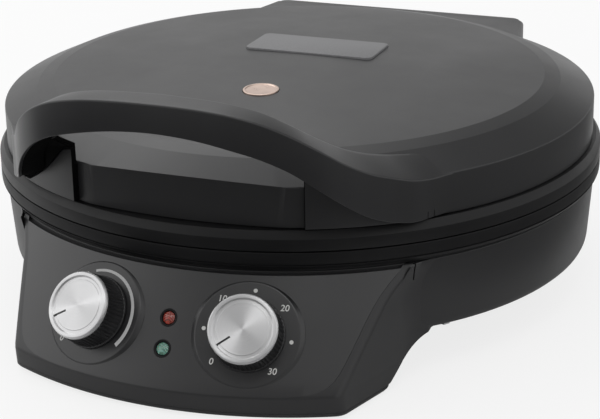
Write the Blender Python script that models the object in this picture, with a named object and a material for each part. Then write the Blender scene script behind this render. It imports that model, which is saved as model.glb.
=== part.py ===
# Electric pizza oven: a round clamshell cooker with a hinged domed lid, an arched lid
# handle and a sloping control housing with two knobs and two indicator lamps.
# Metres, +Z up, front towards -Y. The oven stands on z = 0 with its outer box centred on x = y = 0.
from math import acos, asin, atan2, cos, pi, radians, sin, sqrt

import bmesh
import bpy
from mathutils import Matrix, Vector

# Height and radius of the parting line, which the whole oven is built around
PARTING_HEIGHT = 0.0780
RIM_RADIUS = 0.1725
FIT_GAP = 0.0003
OVERRUN = 0.0060
MERGE_DISTANCE = 0.000002
TURN_STEPS = 52
INNER_STEPS = 34
FINE_STEPS = 28
SMALL_STEPS = 10

# Rim rings, one on the base and one in the lid, with their inner seats alike
RIM_HALF_GAP = 0.0003
RIM_BORDER = 0.0092
RIM_SEAT_RADIUS = RIM_RADIUS - RIM_BORDER
RIM_SEAT_DEPTH = 0.0034
RIM_LEDGE = 0.0071
RIM_INNER_RADIUS = RIM_SEAT_RADIUS - RIM_LEDGE
RIM_SPIGOT_WALL = 0.0047
RIM_SPIGOT_RADIUS = RIM_INNER_RADIUS + RIM_SPIGOT_WALL
RIM_SPIGOT_DEPTH = 0.0140
RIM_LAND_DEPTH = 0.0109
RIM_LIP = 0.0025
RIM_LAND_RADIUS = RIM_RADIUS - RIM_LIP
LOWER_RIM_DEPTH = 0.0094
LOWER_RIM_TAPER = 0.0013
RIM_GROOVE_DEPTH = 0.0008
RIM_GROOVE_HEIGHT = 0.0008
RIM_GROOVE_BELOW = 0.0074
UPPER_RIM_BAND = 0.0068

# Cooking plates
PLATE_THICKNESS = 0.0025
PLATE_FLANGE_RADIUS = RIM_SEAT_RADIUS - FIT_GAP
PLATE_FLANGE_RECESS = 0.0007
PLATE_LIP = 0.0016
PLATE_MOUTH_RADIUS = RIM_INNER_RADIUS - PLATE_LIP
PLATE_DRAFT = 0.0037
PLATE_FLOOR_RADIUS = PLATE_MOUTH_RADIUS - PLATE_DRAFT
PLATE_FLOOR_DEPTH = 0.0118
PLATE_RIM_GAP = 0.0005
PLATE_BACK_BORDER = 0.0012

# Heating elements and their reflectors
ELEMENT_INSET = 0.0459
ELEMENT_RADIUS = PLATE_FLOOR_RADIUS - ELEMENT_INSET
ELEMENT_TUBE = 0.0040
ELEMENT_OPENING = radians(26)
ELEMENT_LEG = 0.0080
ELEMENT_BEND = 0.0100
ELEMENT_POINTS = 26
ELEMENT_SIDES = 8
REFLECTOR_SHEET = 0.0008
REFLECTOR_FLANGE_RADIUS = RIM_SPIGOT_RADIUS - FIT_GAP
REFLECTOR_LIP = 0.0032
REFLECTOR_MOUTH_RADIUS = RIM_INNER_RADIUS - REFLECTOR_LIP
REFLECTOR_DRAFT = 0.0060
REFLECTOR_FLOOR_RADIUS = REFLECTOR_MOUTH_RADIUS - REFLECTOR_DRAFT
REFLECTOR_DEPTH = 0.0105
ELEMENT_HOLE_RADIUS = 0.0075
RIM_SCREW_RADIUS = 0.0009
RIM_SCREW_HEAD_RADIUS = 0.0019
RIM_SCREW_HEAD = 0.0012
RIM_SCREW_LENGTH = 0.0050
RIM_SCREW_ANGLES = (60, 180, 300)
RIM_SCREW_CIRCLE = (RIM_SPIGOT_RADIUS + RIM_INNER_RADIUS) / 2

# Lid shell: crease, band and dome heights above the parting plane
LID_WALL = 0.0025
LID_SETBACK = 0.0045
LID_SIDE_RADIUS = RIM_RADIUS - LID_SETBACK
LID_CREASE_RISE = 0.0325
LID_SLOPE_RUN = 0.0191
LID_BAND_RADIUS = LID_SIDE_RADIUS - LID_SLOPE_RUN
LID_BAND_RISE = 0.0413
LID_BAND_WIDTH = 0.0089
LID_STRIP_RADIUS = LID_BAND_RADIUS - LID_BAND_WIDTH
LID_STRIP_RISE = 0.0436
LID_TOP_RISE = 0.0490
LID_EDGE_ROUND = 0.0012
LID_SKIRT_GAP = 0.0005
DOME_RING_SHARES = (0.35, 0.7)

# Finger scoop in the lid's front wall, and the handle's cheeks each side of it
SCOOP_LOW_SHARE = 0.3869
SCOOP_LOW_HALF_WIDTH = LID_SIDE_RADIUS * SCOOP_LOW_SHARE
SCOOP_SHARE = 0.4048
SCOOP_HALF_WIDTH = LID_SIDE_RADIUS * SCOOP_SHARE
SCOOP_TOP_SHARE = 0.4643
SCOOP_TOP_HALF_WIDTH = LID_SIDE_RADIUS * SCOOP_TOP_SHARE
SCOOP_FLARE_RISE = 0.0055
SCOOP_FLAT_SHARE = 1.738
SCOOP_FLAT_RADIUS = LID_SIDE_RADIUS * SCOOP_FLAT_SHARE
SCOOP_DEPTH = 0.0040
SCOOP_STEPS = 12
CHEEK_PROUD = 0.0036
CHEEK_INNER_ANGLE = radians(22.4)
CHEEK_OUTER_ANGLE = radians(44.5)
CHEEK_FLARE_ANGLE = radians(7.6)
CHEEK_REACH = 0.0116
CHEEK_BEVEL = 0.0030
CHEEK_SHARES = (0.0, 0.18, 0.36, 0.57, 0.78, 1.0)

# Lid hood over the hinge
HOOD_REACH = 0.0110
HOOD_REAR = RIM_RADIUS + HOOD_REACH
HOOD_SIDE_ROOM = 0.0147
HOOD_FLARE = 0.0120
HOOD_DEPTH = 0.0485
HOOD_FRONT = HOOD_REAR - HOOD_DEPTH
HOOD_TOP_RISE = 0.0332
HOOD_CORNER = 0.0070
HOOD_EDGE_ROUND = 0.0030
HOOD_CORNER_STEPS = 4

# Hinge
HINGE_INSET = 0.0030
HINGE_RISE = 0.00265
KNUCKLE_RADIUS = 0.0050
PIN_RADIUS = 0.0020
PIN_HEAD_RADIUS = 0.0034
PIN_HEAD = 0.0015
LID_LUG_INNER = 0.0305
LUG_LENGTH = 0.0190
LUG_SIDE_GAP = 0.0008
LID_LUG_DEPTH = 0.0040
BASE_LUG_DEPTH = 0.0065
BASE_LUG_DROP = 0.0060
PIN_GAP = 0.00012
LUG_ARC_STEPS = 9
HINGE_RUN_GAP = 0.0005
HOOD_BOTTOM_GAP = 0.0025

# Badge disc and nameless raised plate on the dome
BADGE_PLACE = 0.0576
BADGE_RADIUS = 0.0100
BADGE_THICKNESS = 0.0013
BADGE_SINK = 0.0007
BADGE_EDGE = 0.0004
PLATE_PLACE = 0.0300
RAISED_PLATE_LENGTH = 0.0780
RAISED_PLATE_DEPTH = 0.0345
RAISED_PLATE_CORNER = 0.0040
RAISED_PLATE_THICKNESS = 0.0018
RAISED_PLATE_SINK = 0.0010
RAISED_PLATE_EDGE = 0.0004
RAISED_PLATE_CORNER_STEPS = 3

# Handle: its plan is a straight front, a tight bend and a long easy bend to the lid wall
HANDLE_FRONT_SHARE = 1.1815
HANDLE_FRONT = LID_SIDE_RADIUS * HANDLE_FRONT_SHARE
HANDLE_STRAIGHT_SHARE = 0.3095
HANDLE_STRAIGHT = LID_SIDE_RADIUS * HANDLE_STRAIGHT_SHARE
HANDLE_BEND_SHARE = 0.1667
HANDLE_BEND_RADIUS = LID_SIDE_RADIUS * HANDLE_BEND_SHARE
HANDLE_BEND = radians(42)
HANDLE_SWEEP_SHARE = 1.2262
HANDLE_SWEEP_RADIUS = LID_SIDE_RADIUS * HANDLE_SWEEP_SHARE
HANDLE_SWEEP = radians(20)
HANDLE_END_RUN_SHARE = 0.0655
HANDLE_END_RUN = LID_SIDE_RADIUS * HANDLE_END_RUN_SHARE
HANDLE_DEPTH = 0.0180
HANDLE_END_DEPTH = 0.0120
HANDLE_UNDER_RISE = 0.0640
HANDLE_HEIGHT = 0.0190
HANDLE_TOP_RISE = HANDLE_UNDER_RISE + HANDLE_HEIGHT
HANDLE_END_UNDER_RISE = 0.0130
HANDLE_END_HEIGHT = 0.0230
HANDLE_END_TOP_RISE = HANDLE_END_UNDER_RISE + HANDLE_END_HEIGHT
HANDLE_LEVEL_SHARE = 0.2083
HANDLE_LEVEL_RUN = LID_SIDE_RADIUS * HANDLE_LEVEL_SHARE
HANDLE_FALL_SHARE = 0.8929
HANDLE_FALL_END = LID_SIDE_RADIUS * HANDLE_FALL_SHARE
HANDLE_EDGE_ROUND = 0.0035
HANDLE_COVER_HEIGHT = 0.0032
HANDLE_COVER_INSET = 0.0010
HANDLE_COVER_GAP = 0.0006
HANDLE_BEND_STEPS = 5
HANDLE_SWEEP_STEPS = 5
HANDLE_SOLID_STATIONS = 3
HANDLE_WALL = 0.0026
HANDLE_SCREW_ANGLES = (36.5, 40.5)
HANDLE_SCREW_RISE = 0.0220
HANDLE_SCREW_RADIUS = 0.0015
HANDLE_SCREW_HEAD_RADIUS = 0.0032
HANDLE_SCREW_HEAD = 0.0018
HANDLE_SCREW_LENGTH = 0.0096
HANDLE_SCREW_SEAT_GAP = 0.0009

# Bowl of the base shell
BASE_WALL = 0.0025
BOWL_TOP_DROP = 0.0113
BOWL_STEP = 0.0005
BOWL_TOP_RADIUS = RIM_LAND_RADIUS - BOWL_STEP
BOWL_DRAFT = 0.0031
BOWL_LOW_RADIUS = BOWL_TOP_RADIUS - BOWL_DRAFT
BOWL_DEPTH = 0.0520
BOWL_BOTTOM = PARTING_HEIGHT - BOWL_DEPTH
BOWL_EDGE_ROUND = 0.0040
BOTTOM_BORDER = 0.0164
BOTTOM_OPENING_RADIUS = BOWL_LOW_RADIUS - BOTTOM_BORDER
BOTTOM_FRONT_SHARE = 0.70
BOTTOM_REAR_SHARE = 0.86

# Control housing at the front of the base
HOUSING_PROUD = 0.0009
HOUSING_TOP_RADIUS = BOWL_TOP_RADIUS + HOUSING_PROUD
PANEL_RUN = 0.0361
PANEL_FOOT_RADIUS = HOUSING_TOP_RADIUS + PANEL_RUN
PANEL_FOOT_HEIGHT = 0.0140
SKIRT_TAPER = 0.0022
SKIRT_RADIUS = PANEL_FOOT_RADIUS - SKIRT_TAPER
SKIRT_EDGE = 0.0015
FOOT_CLEARANCE = 0.0020
HOUSING_SIDE_SHARE = 0.8348
HOUSING_SIDE_REACH = BOWL_TOP_RADIUS * HOUSING_SIDE_SHARE
HOUSING_FLARE = radians(17)
HOUSING_CORNER = 0.0090
HOUSING_REAR_SHARE = 0.354
HOUSING_REAR = BOWL_TOP_RADIUS * HOUSING_REAR_SHARE
HOUSING_SIDE_WALL = 0.0030
HOUSING_FACE_WALL = 0.0050
HOUSING_ARC_STEPS = 8
HOUSING_CORNER_STEPS = 4
ARCH_FRONT = BOTTOM_OPENING_RADIUS
ARCH_DEPTH = 0.0330
ARCH_SHARES = ((0.0, 0.0), (0.13, 0.11), (0.37, 0.39), (0.80, 0.67), (1.0, 1.0))
HOUSING_CAVITY_DROP = 0.0050

# Control panel, dials, knobs and lamps
PANEL_THICKNESS = 0.0025
PANEL_BORDER = 0.0030
PANEL_CORNER = 0.0220
PANEL_CORNER_SHARES = (0.0, 0.25, 0.5, 0.75, 1.0)
PANEL_LEDGE_SHARE = 0.1139
WINDOW_DEPTH = 0.0090
PANEL_TOP_DROP = 0.0016
DIAL_HEIGHT_SHARE = 0.4953
DIAL_ANGLE = radians(12.9)
DIAL_SIZE_SHARE = 0.4602
DIAL_EDGE = 0.0024
DIAL_PROUD = 0.0005
DIAL_SINK = 0.0021
KNOB_LENGTH = 0.0170
KNOB_BASE_RADIUS = 0.0187
KNOB_TOP_RADIUS = 0.0178
KNOB_RIB_DEPTH = 0.0006
KNOB_RIBS = 28
KNOB_SKIRT = 0.0020
KNOB_SKIRT_RADIUS = 0.0192
CAP_RADIUS = 0.0176
CAP_HEIGHT = 0.0022
CAP_RIM = 0.0024
CAP_DISH = 0.0007
CAP_EDGE = 0.0006
CAP_SPIGOT_RADIUS = 0.0120
CAP_SPIGOT = 0.0020
SPINDLE_RADIUS = 0.0030
SPINDLE_FLAT_SHARE = 0.55
SPINDLE_IN_KNOB = 0.0090
SPINDLE_IN_BODY = 0.0060
SPINDLE_GAP = 0.0004
THERMOSTAT_RADIUS = 0.0140
THERMOSTAT_DEPTH = 0.0160
THERMOSTAT_NECK_RADIUS = 0.0060
THERMOSTAT_NECK = 0.0040
TIMER_SIDE = 0.0290
TIMER_DEPTH = 0.0180
TIMER_CORNER = 0.0030
TIMER_SETBACK = 0.0012
LAMP_HEIGHT_SHARES = {"red": 0.5731, "green": 0.3226}
LAMP_HOLE_RADIUS = 0.0047
LENS_RADIUS = 0.0038
LENS_DOME = 0.0009
LENS_DEPTH = 0.0040
LENS_SINK = 0.0004
HOLDER_RADIUS = 0.0068
HOLDER_DEPTH = 0.0060
HOLDER_LIP_SINK = 0.0005

# Hinge pedestal and rear foot of the base
PEDESTAL_SIDE_ROOM = 0.0067
PEDESTAL_DEPTH = 0.0370
PEDESTAL_CORNER = 0.0080
PEDESTAL_CAVITY_DROP = 0.0160

# Covers, feet and fixings
COVER_THICKNESS = 0.0020
BOTTOM_COVER_LAP = 0.0085
COVER_BOSS_RADIUS = 0.0034
COVER_BOSS_HEIGHT = 0.0080
COVER_SCREW_RADIUS = 0.0015
COVER_SCREW_HEAD_RADIUS = 0.0032
COVER_SCREW_HEAD = 0.0016
COVER_SCREW_LENGTH = 0.0075
COVER_SCREW_BORDER = 0.0042
COVER_SCREW_ANGLES = (50, 130, 230, 310)
FOOT_RADIUS = 0.0085
FOOT_EDGE = 0.0006
FOOT_STEM_RADIUS = 0.0030
FOOT_STEM = 0.0060
FRONT_FOOT_SHARE = 0.5088
FRONT_FOOT_SETBACK = 0.0303
REAR_FOOT_INSET = 0.0160
REAR_FOOT_SETBACK = 0.0170
GLAND_X = 0.0350
GLAND_HEIGHT = 0.0220
GLAND_RADIUS = 0.0065
GLAND_FLANGE_RADIUS = 0.0090
GLAND_FLANGE = 0.0020
GLAND_NOSE = 0.0045
GLAND_BORE_RADIUS = 0.0036
GLAND_TAIL = 0.0045
TERMINAL_LENGTH = 0.0300
TERMINAL_DEPTH = 0.0140
TERMINAL_HEIGHT = 0.0120
TERMINAL_GROOVE = 0.0020
TERMINAL_WAYS = 3
TERMINAL_X = 0.0300

# Finishes: base colour, roughness, metallic
SATIN_BLACK = ((0.030, 0.030, 0.032), 0.42, 0.0)
RIM_BLACK = ((0.016, 0.016, 0.017), 0.50, 0.0)
NONSTICK = ((0.022, 0.022, 0.023), 0.38, 0.3)
BRUSHED_SILVER = ((0.72, 0.72, 0.73), 0.28, 1.0)
STEEL = ((0.55, 0.55, 0.56), 0.34, 1.0)
ALUMINISED = ((0.62, 0.63, 0.64), 0.30, 1.0)
PLATE_GREY = ((0.10, 0.10, 0.105), 0.60, 0.2)
ROSE_METAL = ((0.76, 0.60, 0.52), 0.30, 1.0)
RUBBER = ((0.020, 0.020, 0.020), 0.80, 0.0)
RED_LENS = ((0.62, 0.10, 0.06), 0.15, 0.0)
GREEN_LENS = ((0.18, 0.52, 0.38), 0.15, 0.0)
IVORY = ((0.70, 0.66, 0.55), 0.50, 0.0)

# Places worked out from the sizes above
LOWER_RIM_FOOT_RADIUS = RIM_RADIUS - LOWER_RIM_TAPER
HINGE_Y = HOOD_REAR - HINGE_INSET
HINGE_Z = PARTING_HEIGHT + HINGE_RISE
PEDESTAL_TOP = HINGE_Z - HOOD_BOTTOM_GAP
HOOD_BOTTOM = HINGE_Z + HOOD_BOTTOM_GAP
BASE_LUG_INNER = LID_LUG_INNER + LUG_LENGTH + LUG_SIDE_GAP
BASE_LUG_OUTER = BASE_LUG_INNER + LUG_LENGTH
HOOD_HALF_WIDTH = BASE_LUG_OUTER + HOOD_SIDE_ROOM
HOOD_FRONT_HALF_WIDTH = HOOD_HALF_WIDTH + HOOD_FLARE
PEDESTAL_HALF_WIDTH = BASE_LUG_OUTER + PEDESTAL_SIDE_ROOM
PEDESTAL_REAR = HINGE_Y - HINGE_INSET - HINGE_RUN_GAP
PEDESTAL_FRONT = PEDESTAL_REAR - PEDESTAL_DEPTH
RIM_ROOM_TOP = PARTING_HEIGHT + RIM_LAND_DEPTH + FIT_GAP
LID_BOTTOM = PARTING_HEIGHT + RIM_LAND_DEPTH + LID_SKIRT_GAP
LID_SLOPE = (LID_BAND_RISE - LID_CREASE_RISE) / (LID_SIDE_RADIUS - LID_BAND_RADIUS)
BOWL_TOP = PARTING_HEIGHT - BOWL_TOP_DROP
PANEL_RISE = BOWL_TOP - PANEL_FOOT_HEIGHT
PANEL_SLOPE = PANEL_RUN / PANEL_RISE
PANEL_LEDGE = PANEL_RISE * PANEL_LEDGE_SHARE
DIAL_HEIGHT = PANEL_FOOT_HEIGHT + PANEL_RISE * DIAL_HEIGHT_SHARE
DIAL_BASE_RADIUS = sqrt(PANEL_RUN ** 2 + PANEL_RISE ** 2) * DIAL_SIZE_SHARE
DIAL_TOP_RADIUS = DIAL_BASE_RADIUS - DIAL_EDGE
LAMP_HEIGHTS = {colour: PANEL_FOOT_HEIGHT + PANEL_RISE * share
                for colour, share in LAMP_HEIGHT_SHARES.items()}
BOTTOM_OPENING_FRONT = BOTTOM_OPENING_RADIUS * BOTTOM_FRONT_SHARE
BOTTOM_OPENING_REAR = BOTTOM_OPENING_RADIUS * BOTTOM_REAR_SHARE
COVER_SCREW_CIRCLE = BOTTOM_OPENING_RADIUS + COVER_SCREW_BORDER
FRONT_FOOT_X = HOUSING_SIDE_REACH * FRONT_FOOT_SHARE
FRONT_FOOT_Y = SKIRT_RADIUS - FRONT_FOOT_SETBACK
REAR_FOOT_X = PEDESTAL_HALF_WIDTH - REAR_FOOT_INSET
REAR_FOOT_Y = PEDESTAL_REAR - REAR_FOOT_SETBACK
PANEL_TILT = atan2(PANEL_SLOPE, 1.0)
CAP_SEAT = KNOB_LENGTH - CAP_HEIGHT
SIDE_NORMAL = Vector((cos(HOUSING_FLARE), -sin(HOUSING_FLARE)))
SIDE_RUN = Vector((sin(HOUSING_FLARE), cos(HOUSING_FLARE)))


def panel_radius(height):
    """Radius of the sloping panel face, and of the skirt under it, at a height."""
    if height >= PANEL_FOOT_HEIGHT:
        return HOUSING_TOP_RADIUS + PANEL_SLOPE * (BOWL_TOP - height)
    share = height / PANEL_FOOT_HEIGHT
    return SKIRT_RADIUS + (PANEL_FOOT_RADIUS - SKIRT_RADIUS) * share


DIAL_RADIUS = panel_radius(DIAL_HEIGHT)
KNOB_FACE_SHARE = sqrt(1.0 - (cos(PANEL_TILT) * cos(DIAL_ANGLE)) ** 2)
KNOB_REACH = (DIAL_RADIUS + (DIAL_PROUD + KNOB_LENGTH) * cos(PANEL_TILT)) * cos(DIAL_ANGLE)
KNOB_REACH += CAP_RADIUS * KNOB_FACE_SHARE
FRONT_REACH = max(KNOB_REACH, PANEL_FOOT_RADIUS)
CENTRE_SHIFT = (FRONT_REACH - HINGE_Y - KNUCKLE_RADIUS) / 2


# The scene starts empty
for leftover in list(bpy.data.objects):
    bpy.data.objects.remove(leftover, do_unlink=True)


def empty(name, location, parent=None, rotation=None):
    """A guide point that pieces hang from; joints turn about these."""
    guide = bpy.data.objects.new(name, None)
    bpy.context.scene.collection.objects.link(guide)
    guide.parent = parent
    guide.location = location
    if rotation is not None:
        guide.rotation_euler = rotation.to_euler()
    return guide


oven = empty("oven_centre", (0, CENTRE_SHIFT, 0))
HINGE_POINT = Vector((0, HINGE_Y, HINGE_Z))
lid_axis = empty("lid_axis", HINGE_POINT, oven)


def finish(name, look):
    """A Principled material of one piece."""
    colour, roughness, metallic = look
    material = bpy.data.materials.new(name + "_finish")
    material.use_nodes = True
    shader = material.node_tree.nodes["Principled BSDF"]
    shader.inputs["Base Color"].default_value = (*colour, 1.0)
    shader.inputs["Roughness"].default_value = roughness
    shader.inputs["Metallic"].default_value = metallic
    material.diffuse_color = (*colour, 1.0)
    return material


def add_object(name, data, parent, origin):
    item = bpy.data.objects.new(name, data)
    bpy.context.scene.collection.objects.link(item)
    item.parent = parent
    item.location = -Vector(origin)
    return item


def tidy(bm):
    """Merge doubles, drop loose edges and turn every face outwards."""
    bmesh.ops.remove_doubles(bm, verts=bm.verts, dist=MERGE_DISTANCE)
    loose = [edge for edge in bm.edges if not edge.link_faces]
    bmesh.ops.delete(bm, geom=loose, context="EDGES")
    bmesh.ops.recalc_face_normals(bm, faces=bm.faces)
    return bm


def piece(name, bm, look, parent=oven, origin=(0, 0, 0), flat=False):
    """A visible sub-part made from a bmesh."""
    mesh = bpy.data.meshes.new(name)
    tidy(bm).to_mesh(mesh)
    bm.free()
    if not flat:
        mesh.shade_smooth()
        mesh.set_sharp_from_angle(angle=radians(28))
    mesh.materials.append(finish(name, look))
    return add_object(name, mesh, parent, origin)


def form(name, bm, parent=oven, origin=(0, 0, 0)):
    """A hidden shape that a Boolean modifier adds or cuts with."""
    mesh = bpy.data.meshes.new(name)
    tidy(bm).to_mesh(mesh)
    bm.free()
    item = add_object(name, mesh, parent, origin)
    item.hide_render = True
    item.display_type = "WIRE"
    return item


def lid_piece(name, bm, look, flat=False):
    return piece(name, bm, look, lid_axis, HINGE_POINT, flat)


def combine(item, other, operation, solver):
    step = item.modifiers.new(operation.title() + " " + other.name, "BOOLEAN")
    step.operation = operation
    step.object = other
    step.solver = solver


def cut(item, *others, solver="EXACT"):
    for other in others:
        combine(item, other, "DIFFERENCE", solver)


def join(item, *others, solver="EXACT"):
    for other in others:
        combine(item, other, "UNION", solver)


def turned(profile, steps=TURN_STEPS):
    """A closed outline of (radius, height) points spun round the vertical axis."""
    bm = bmesh.new()
    verts = [bm.verts.new((radius, 0, height)) for radius, height in profile]
    edges = [bm.edges.new(pair) for pair in zip(verts, verts[1:] + verts[:1])]
    bmesh.ops.spin(bm, geom=verts + edges, cent=(0, 0, 0), axis=(0, 0, 1), angle=2 * pi,
                   steps=steps, use_merge=True)
    return tidy(bm)


def lofted(rings):
    """A skin of triangles over closed rings of points, with both ends filled."""
    bm = bmesh.new()
    loops = [[bm.verts.new(point) for point in ring] for ring in rings]
    for low, high in zip(loops, loops[1:]):
        for here in range(len(low)):
            there = (here + 1) % len(low)
            bm.faces.new((low[here], low[there], high[there]))
            bm.faces.new((low[here], high[there], high[here]))
    bm.faces.new(loops[0])
    bm.faces.new(loops[-1])
    bmesh.ops.recalc_face_normals(bm, faces=bm.faces)
    bmesh.ops.triangulate(bm, faces=bm.faces, ngon_method="EAR_CLIP")
    return bm


def upright(outline, low, high):
    """A plan outline raised from one height to another."""
    return lofted([[(x, y, height) for x, y in outline] for height in (low, high)])


def across(outline, left, right):
    """An outline of (y, z) points run from side to side."""
    return lofted([[(x, y, z) for y, z in outline] for x in (left, right)])


def rod(radius, low, high, steps=SMALL_STEPS, top_radius=None):
    """A round bar along Z."""
    tip = radius if top_radius is None else top_radius
    return turned([(0, low), (radius, low), (tip, high), (0, high)], steps)


def moved(bm, matrix):
    bmesh.ops.transform(bm, matrix=matrix, verts=bm.verts)
    return bm


def merged(parts):
    """Several separate shapes in one bmesh."""
    whole = bmesh.new()
    for part in parts:
        mesh = bpy.data.meshes.new("part")
        part.to_mesh(mesh)
        part.free()
        whole.from_mesh(mesh)
        bpy.data.meshes.remove(mesh)
    return whole


def at_angle(degrees_from_front, radius, height=0.0):
    """A point at a plan angle from the front, positive towards +X."""
    angle = radians(degrees_from_front)
    return Vector((radius * sin(angle), -radius * cos(angle), height))


def rounded_box(length, depth, corner, steps):
    """Plan outline of a rectangle with round corners, centred on its origin."""
    points = []
    for turn, (sx, sy) in enumerate(((1, 1), (-1, 1), (-1, -1), (1, -1))):
        for step in range(steps + 1):
            angle = (turn + step / steps) * pi / 2
            x = sx * (length / 2 - corner) + corner * cos(angle)
            y = sy * (depth / 2 - corner) + corner * sin(angle)
            points.append((x, y))
    return points


def mirrored_height(side, depth):
    """Height at a distance from the parting plane, below it for the base, above for the lid."""
    return PARTING_HEIGHT + side * depth


BASE_SIDE = -1
LID_SIDE = 1


# Rim rings

def rim_inner_profile(side):
    """The inner steps that the lid's ring and the base's ring have alike."""
    return [(RIM_LAND_RADIUS, mirrored_height(side, RIM_LAND_DEPTH)),
            (RIM_SPIGOT_RADIUS, mirrored_height(side, RIM_LAND_DEPTH)),
            (RIM_SPIGOT_RADIUS, mirrored_height(side, RIM_SPIGOT_DEPTH)),
            (RIM_INNER_RADIUS, mirrored_height(side, RIM_SPIGOT_DEPTH)),
            (RIM_INNER_RADIUS, mirrored_height(side, RIM_SEAT_DEPTH)),
            (RIM_SEAT_RADIUS, mirrored_height(side, RIM_SEAT_DEPTH)),
            (RIM_SEAT_RADIUS, mirrored_height(side, RIM_HALF_GAP)),
            (RIM_RADIUS, mirrored_height(side, RIM_HALF_GAP))]


def rim_screw_holes(side, name, parent, origin):
    low, high = sorted((mirrored_height(side, RIM_SPIGOT_DEPTH - RIM_SCREW_LENGTH - FIT_GAP),
                        mirrored_height(side, RIM_SPIGOT_DEPTH + OVERRUN)))
    shapes = [moved(rod(RIM_SCREW_RADIUS + FIT_GAP, low, high, SMALL_STEPS // 2),
                    Matrix.Translation(at_angle(angle, RIM_SCREW_CIRCLE)))
              for angle in RIM_SCREW_ANGLES]
    return form(name, merged(shapes), parent, origin)


lower_screw_holes = rim_screw_holes(BASE_SIDE, "lower_screw_holes", oven, (0, 0, 0))
upper_screw_holes = rim_screw_holes(LID_SIDE, "upper_screw_holes", lid_axis, HINGE_POINT)

groove = mirrored_height(BASE_SIDE, RIM_GROOVE_BELOW)
lower_rim = piece("lower_rim", turned(rim_inner_profile(BASE_SIDE) + [
    (RIM_RADIUS, groove + RIM_GROOVE_HEIGHT),
    (RIM_RADIUS - RIM_GROOVE_DEPTH, groove + RIM_GROOVE_HEIGHT),
    (RIM_RADIUS - RIM_GROOVE_DEPTH, groove),
    (RIM_RADIUS, groove),
    (LOWER_RIM_FOOT_RADIUS, mirrored_height(BASE_SIDE, LOWER_RIM_DEPTH)),
    (RIM_LAND_RADIUS, mirrored_height(BASE_SIDE, LOWER_RIM_DEPTH))]), RIM_BLACK)
cut(lower_rim, lower_screw_holes)

upper_rim = lid_piece("upper_rim", turned(rim_inner_profile(LID_SIDE) + [
    (RIM_RADIUS, mirrored_height(LID_SIDE, UPPER_RIM_BAND))]), RIM_BLACK)
cut(upper_rim, upper_screw_holes)


# Cooking plates

def plate_profile(side):
    """Flanged dish: the floor, a sloping wall and the flange that seats in the rim."""
    floor = mirrored_height(side, PLATE_FLOOR_DEPTH)
    back = mirrored_height(side, PLATE_FLOOR_DEPTH + PLATE_THICKNESS)
    flange = mirrored_height(side, PLATE_FLANGE_RECESS)
    under = mirrored_height(side, RIM_SEAT_DEPTH - FIT_GAP)
    return [(0, floor), (PLATE_FLOOR_RADIUS, floor), (PLATE_MOUTH_RADIUS, flange),
            (PLATE_FLANGE_RADIUS, flange), (PLATE_FLANGE_RADIUS, under),
            (RIM_INNER_RADIUS - PLATE_RIM_GAP, under),
            (PLATE_FLOOR_RADIUS + PLATE_BACK_BORDER, back), (0, back)]


piece("lower_plate", turned(plate_profile(BASE_SIDE), INNER_STEPS), NONSTICK)
lid_piece("upper_plate", turned(plate_profile(LID_SIDE), INNER_STEPS), NONSTICK)


# Heating elements

def element_height(side):
    return mirrored_height(side, PLATE_FLOOR_DEPTH + PLATE_THICKNESS + FIT_GAP + ELEMENT_TUBE)


def element_path(side):
    """An open ring whose two ends bend away from the plate."""
    height = element_height(side)
    first = ELEMENT_OPENING / 2
    last = 2 * pi - first
    ring = []
    for step in range(ELEMENT_POINTS + 1):
        angle = first + (last - first) * step / ELEMENT_POINTS
        ring.append(Vector((ELEMENT_RADIUS * sin(angle), ELEMENT_RADIUS * cos(angle), height)))

    def leg(start, towards):
        along = (start - towards).normalized()
        away = Vector((0, 0, side))
        bend = [start + along * ELEMENT_BEND * sin(a) + away * ELEMENT_BEND * (1 - cos(a))
                for a in (radians(30), radians(60), radians(90))]
        return bend + [bend[-1] + away * ELEMENT_LEG]

    return list(reversed(leg(ring[0], ring[1]))) + ring + leg(ring[-1], ring[-2])


def swept(path, radius, sides):
    """A round bar that follows a path of points."""
    rings = []
    aside = Vector((1, 0, 0))
    for here, place in enumerate(path):
        ahead = path[min(here + 1, len(path) - 1)] - path[max(here - 1, 0)]
        ahead.normalize()
        aside = aside - ahead * aside.dot(ahead)
        aside.normalize()
        upward = ahead.cross(aside)
        rings.append([place + (aside * cos(a) + upward * sin(a)) * radius
                      for a in (2 * pi * side / sides for side in range(sides))])
    return lofted(rings)


def element(name, side, parent, origin):
    path = element_path(side)
    piece(name, swept(path, ELEMENT_TUBE, ELEMENT_SIDES), STEEL, parent, origin)
    return path[0], path[-1]


lower_ends = element("lower_element", BASE_SIDE, oven, (0, 0, 0))
upper_ends = element("upper_element", LID_SIDE, lid_axis, HINGE_POINT)


# Reflectors and the screws that hold them to the rims

def reflector_profile(side):
    flange = mirrored_height(side, RIM_SPIGOT_DEPTH + FIT_GAP)
    outer = mirrored_height(side, RIM_SPIGOT_DEPTH + FIT_GAP + REFLECTOR_SHEET)
    floor = mirrored_height(side, RIM_SPIGOT_DEPTH + REFLECTOR_DEPTH)
    back = mirrored_height(side, RIM_SPIGOT_DEPTH + REFLECTOR_DEPTH + REFLECTOR_SHEET)
    return [(0, floor), (REFLECTOR_FLOOR_RADIUS, floor), (REFLECTOR_MOUTH_RADIUS, flange),
            (REFLECTOR_FLANGE_RADIUS, flange), (REFLECTOR_FLANGE_RADIUS, outer),
            (REFLECTOR_MOUTH_RADIUS + REFLECTOR_SHEET, outer),
            (REFLECTOR_FLOOR_RADIUS + REFLECTOR_SHEET, back), (0, back)]


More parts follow.
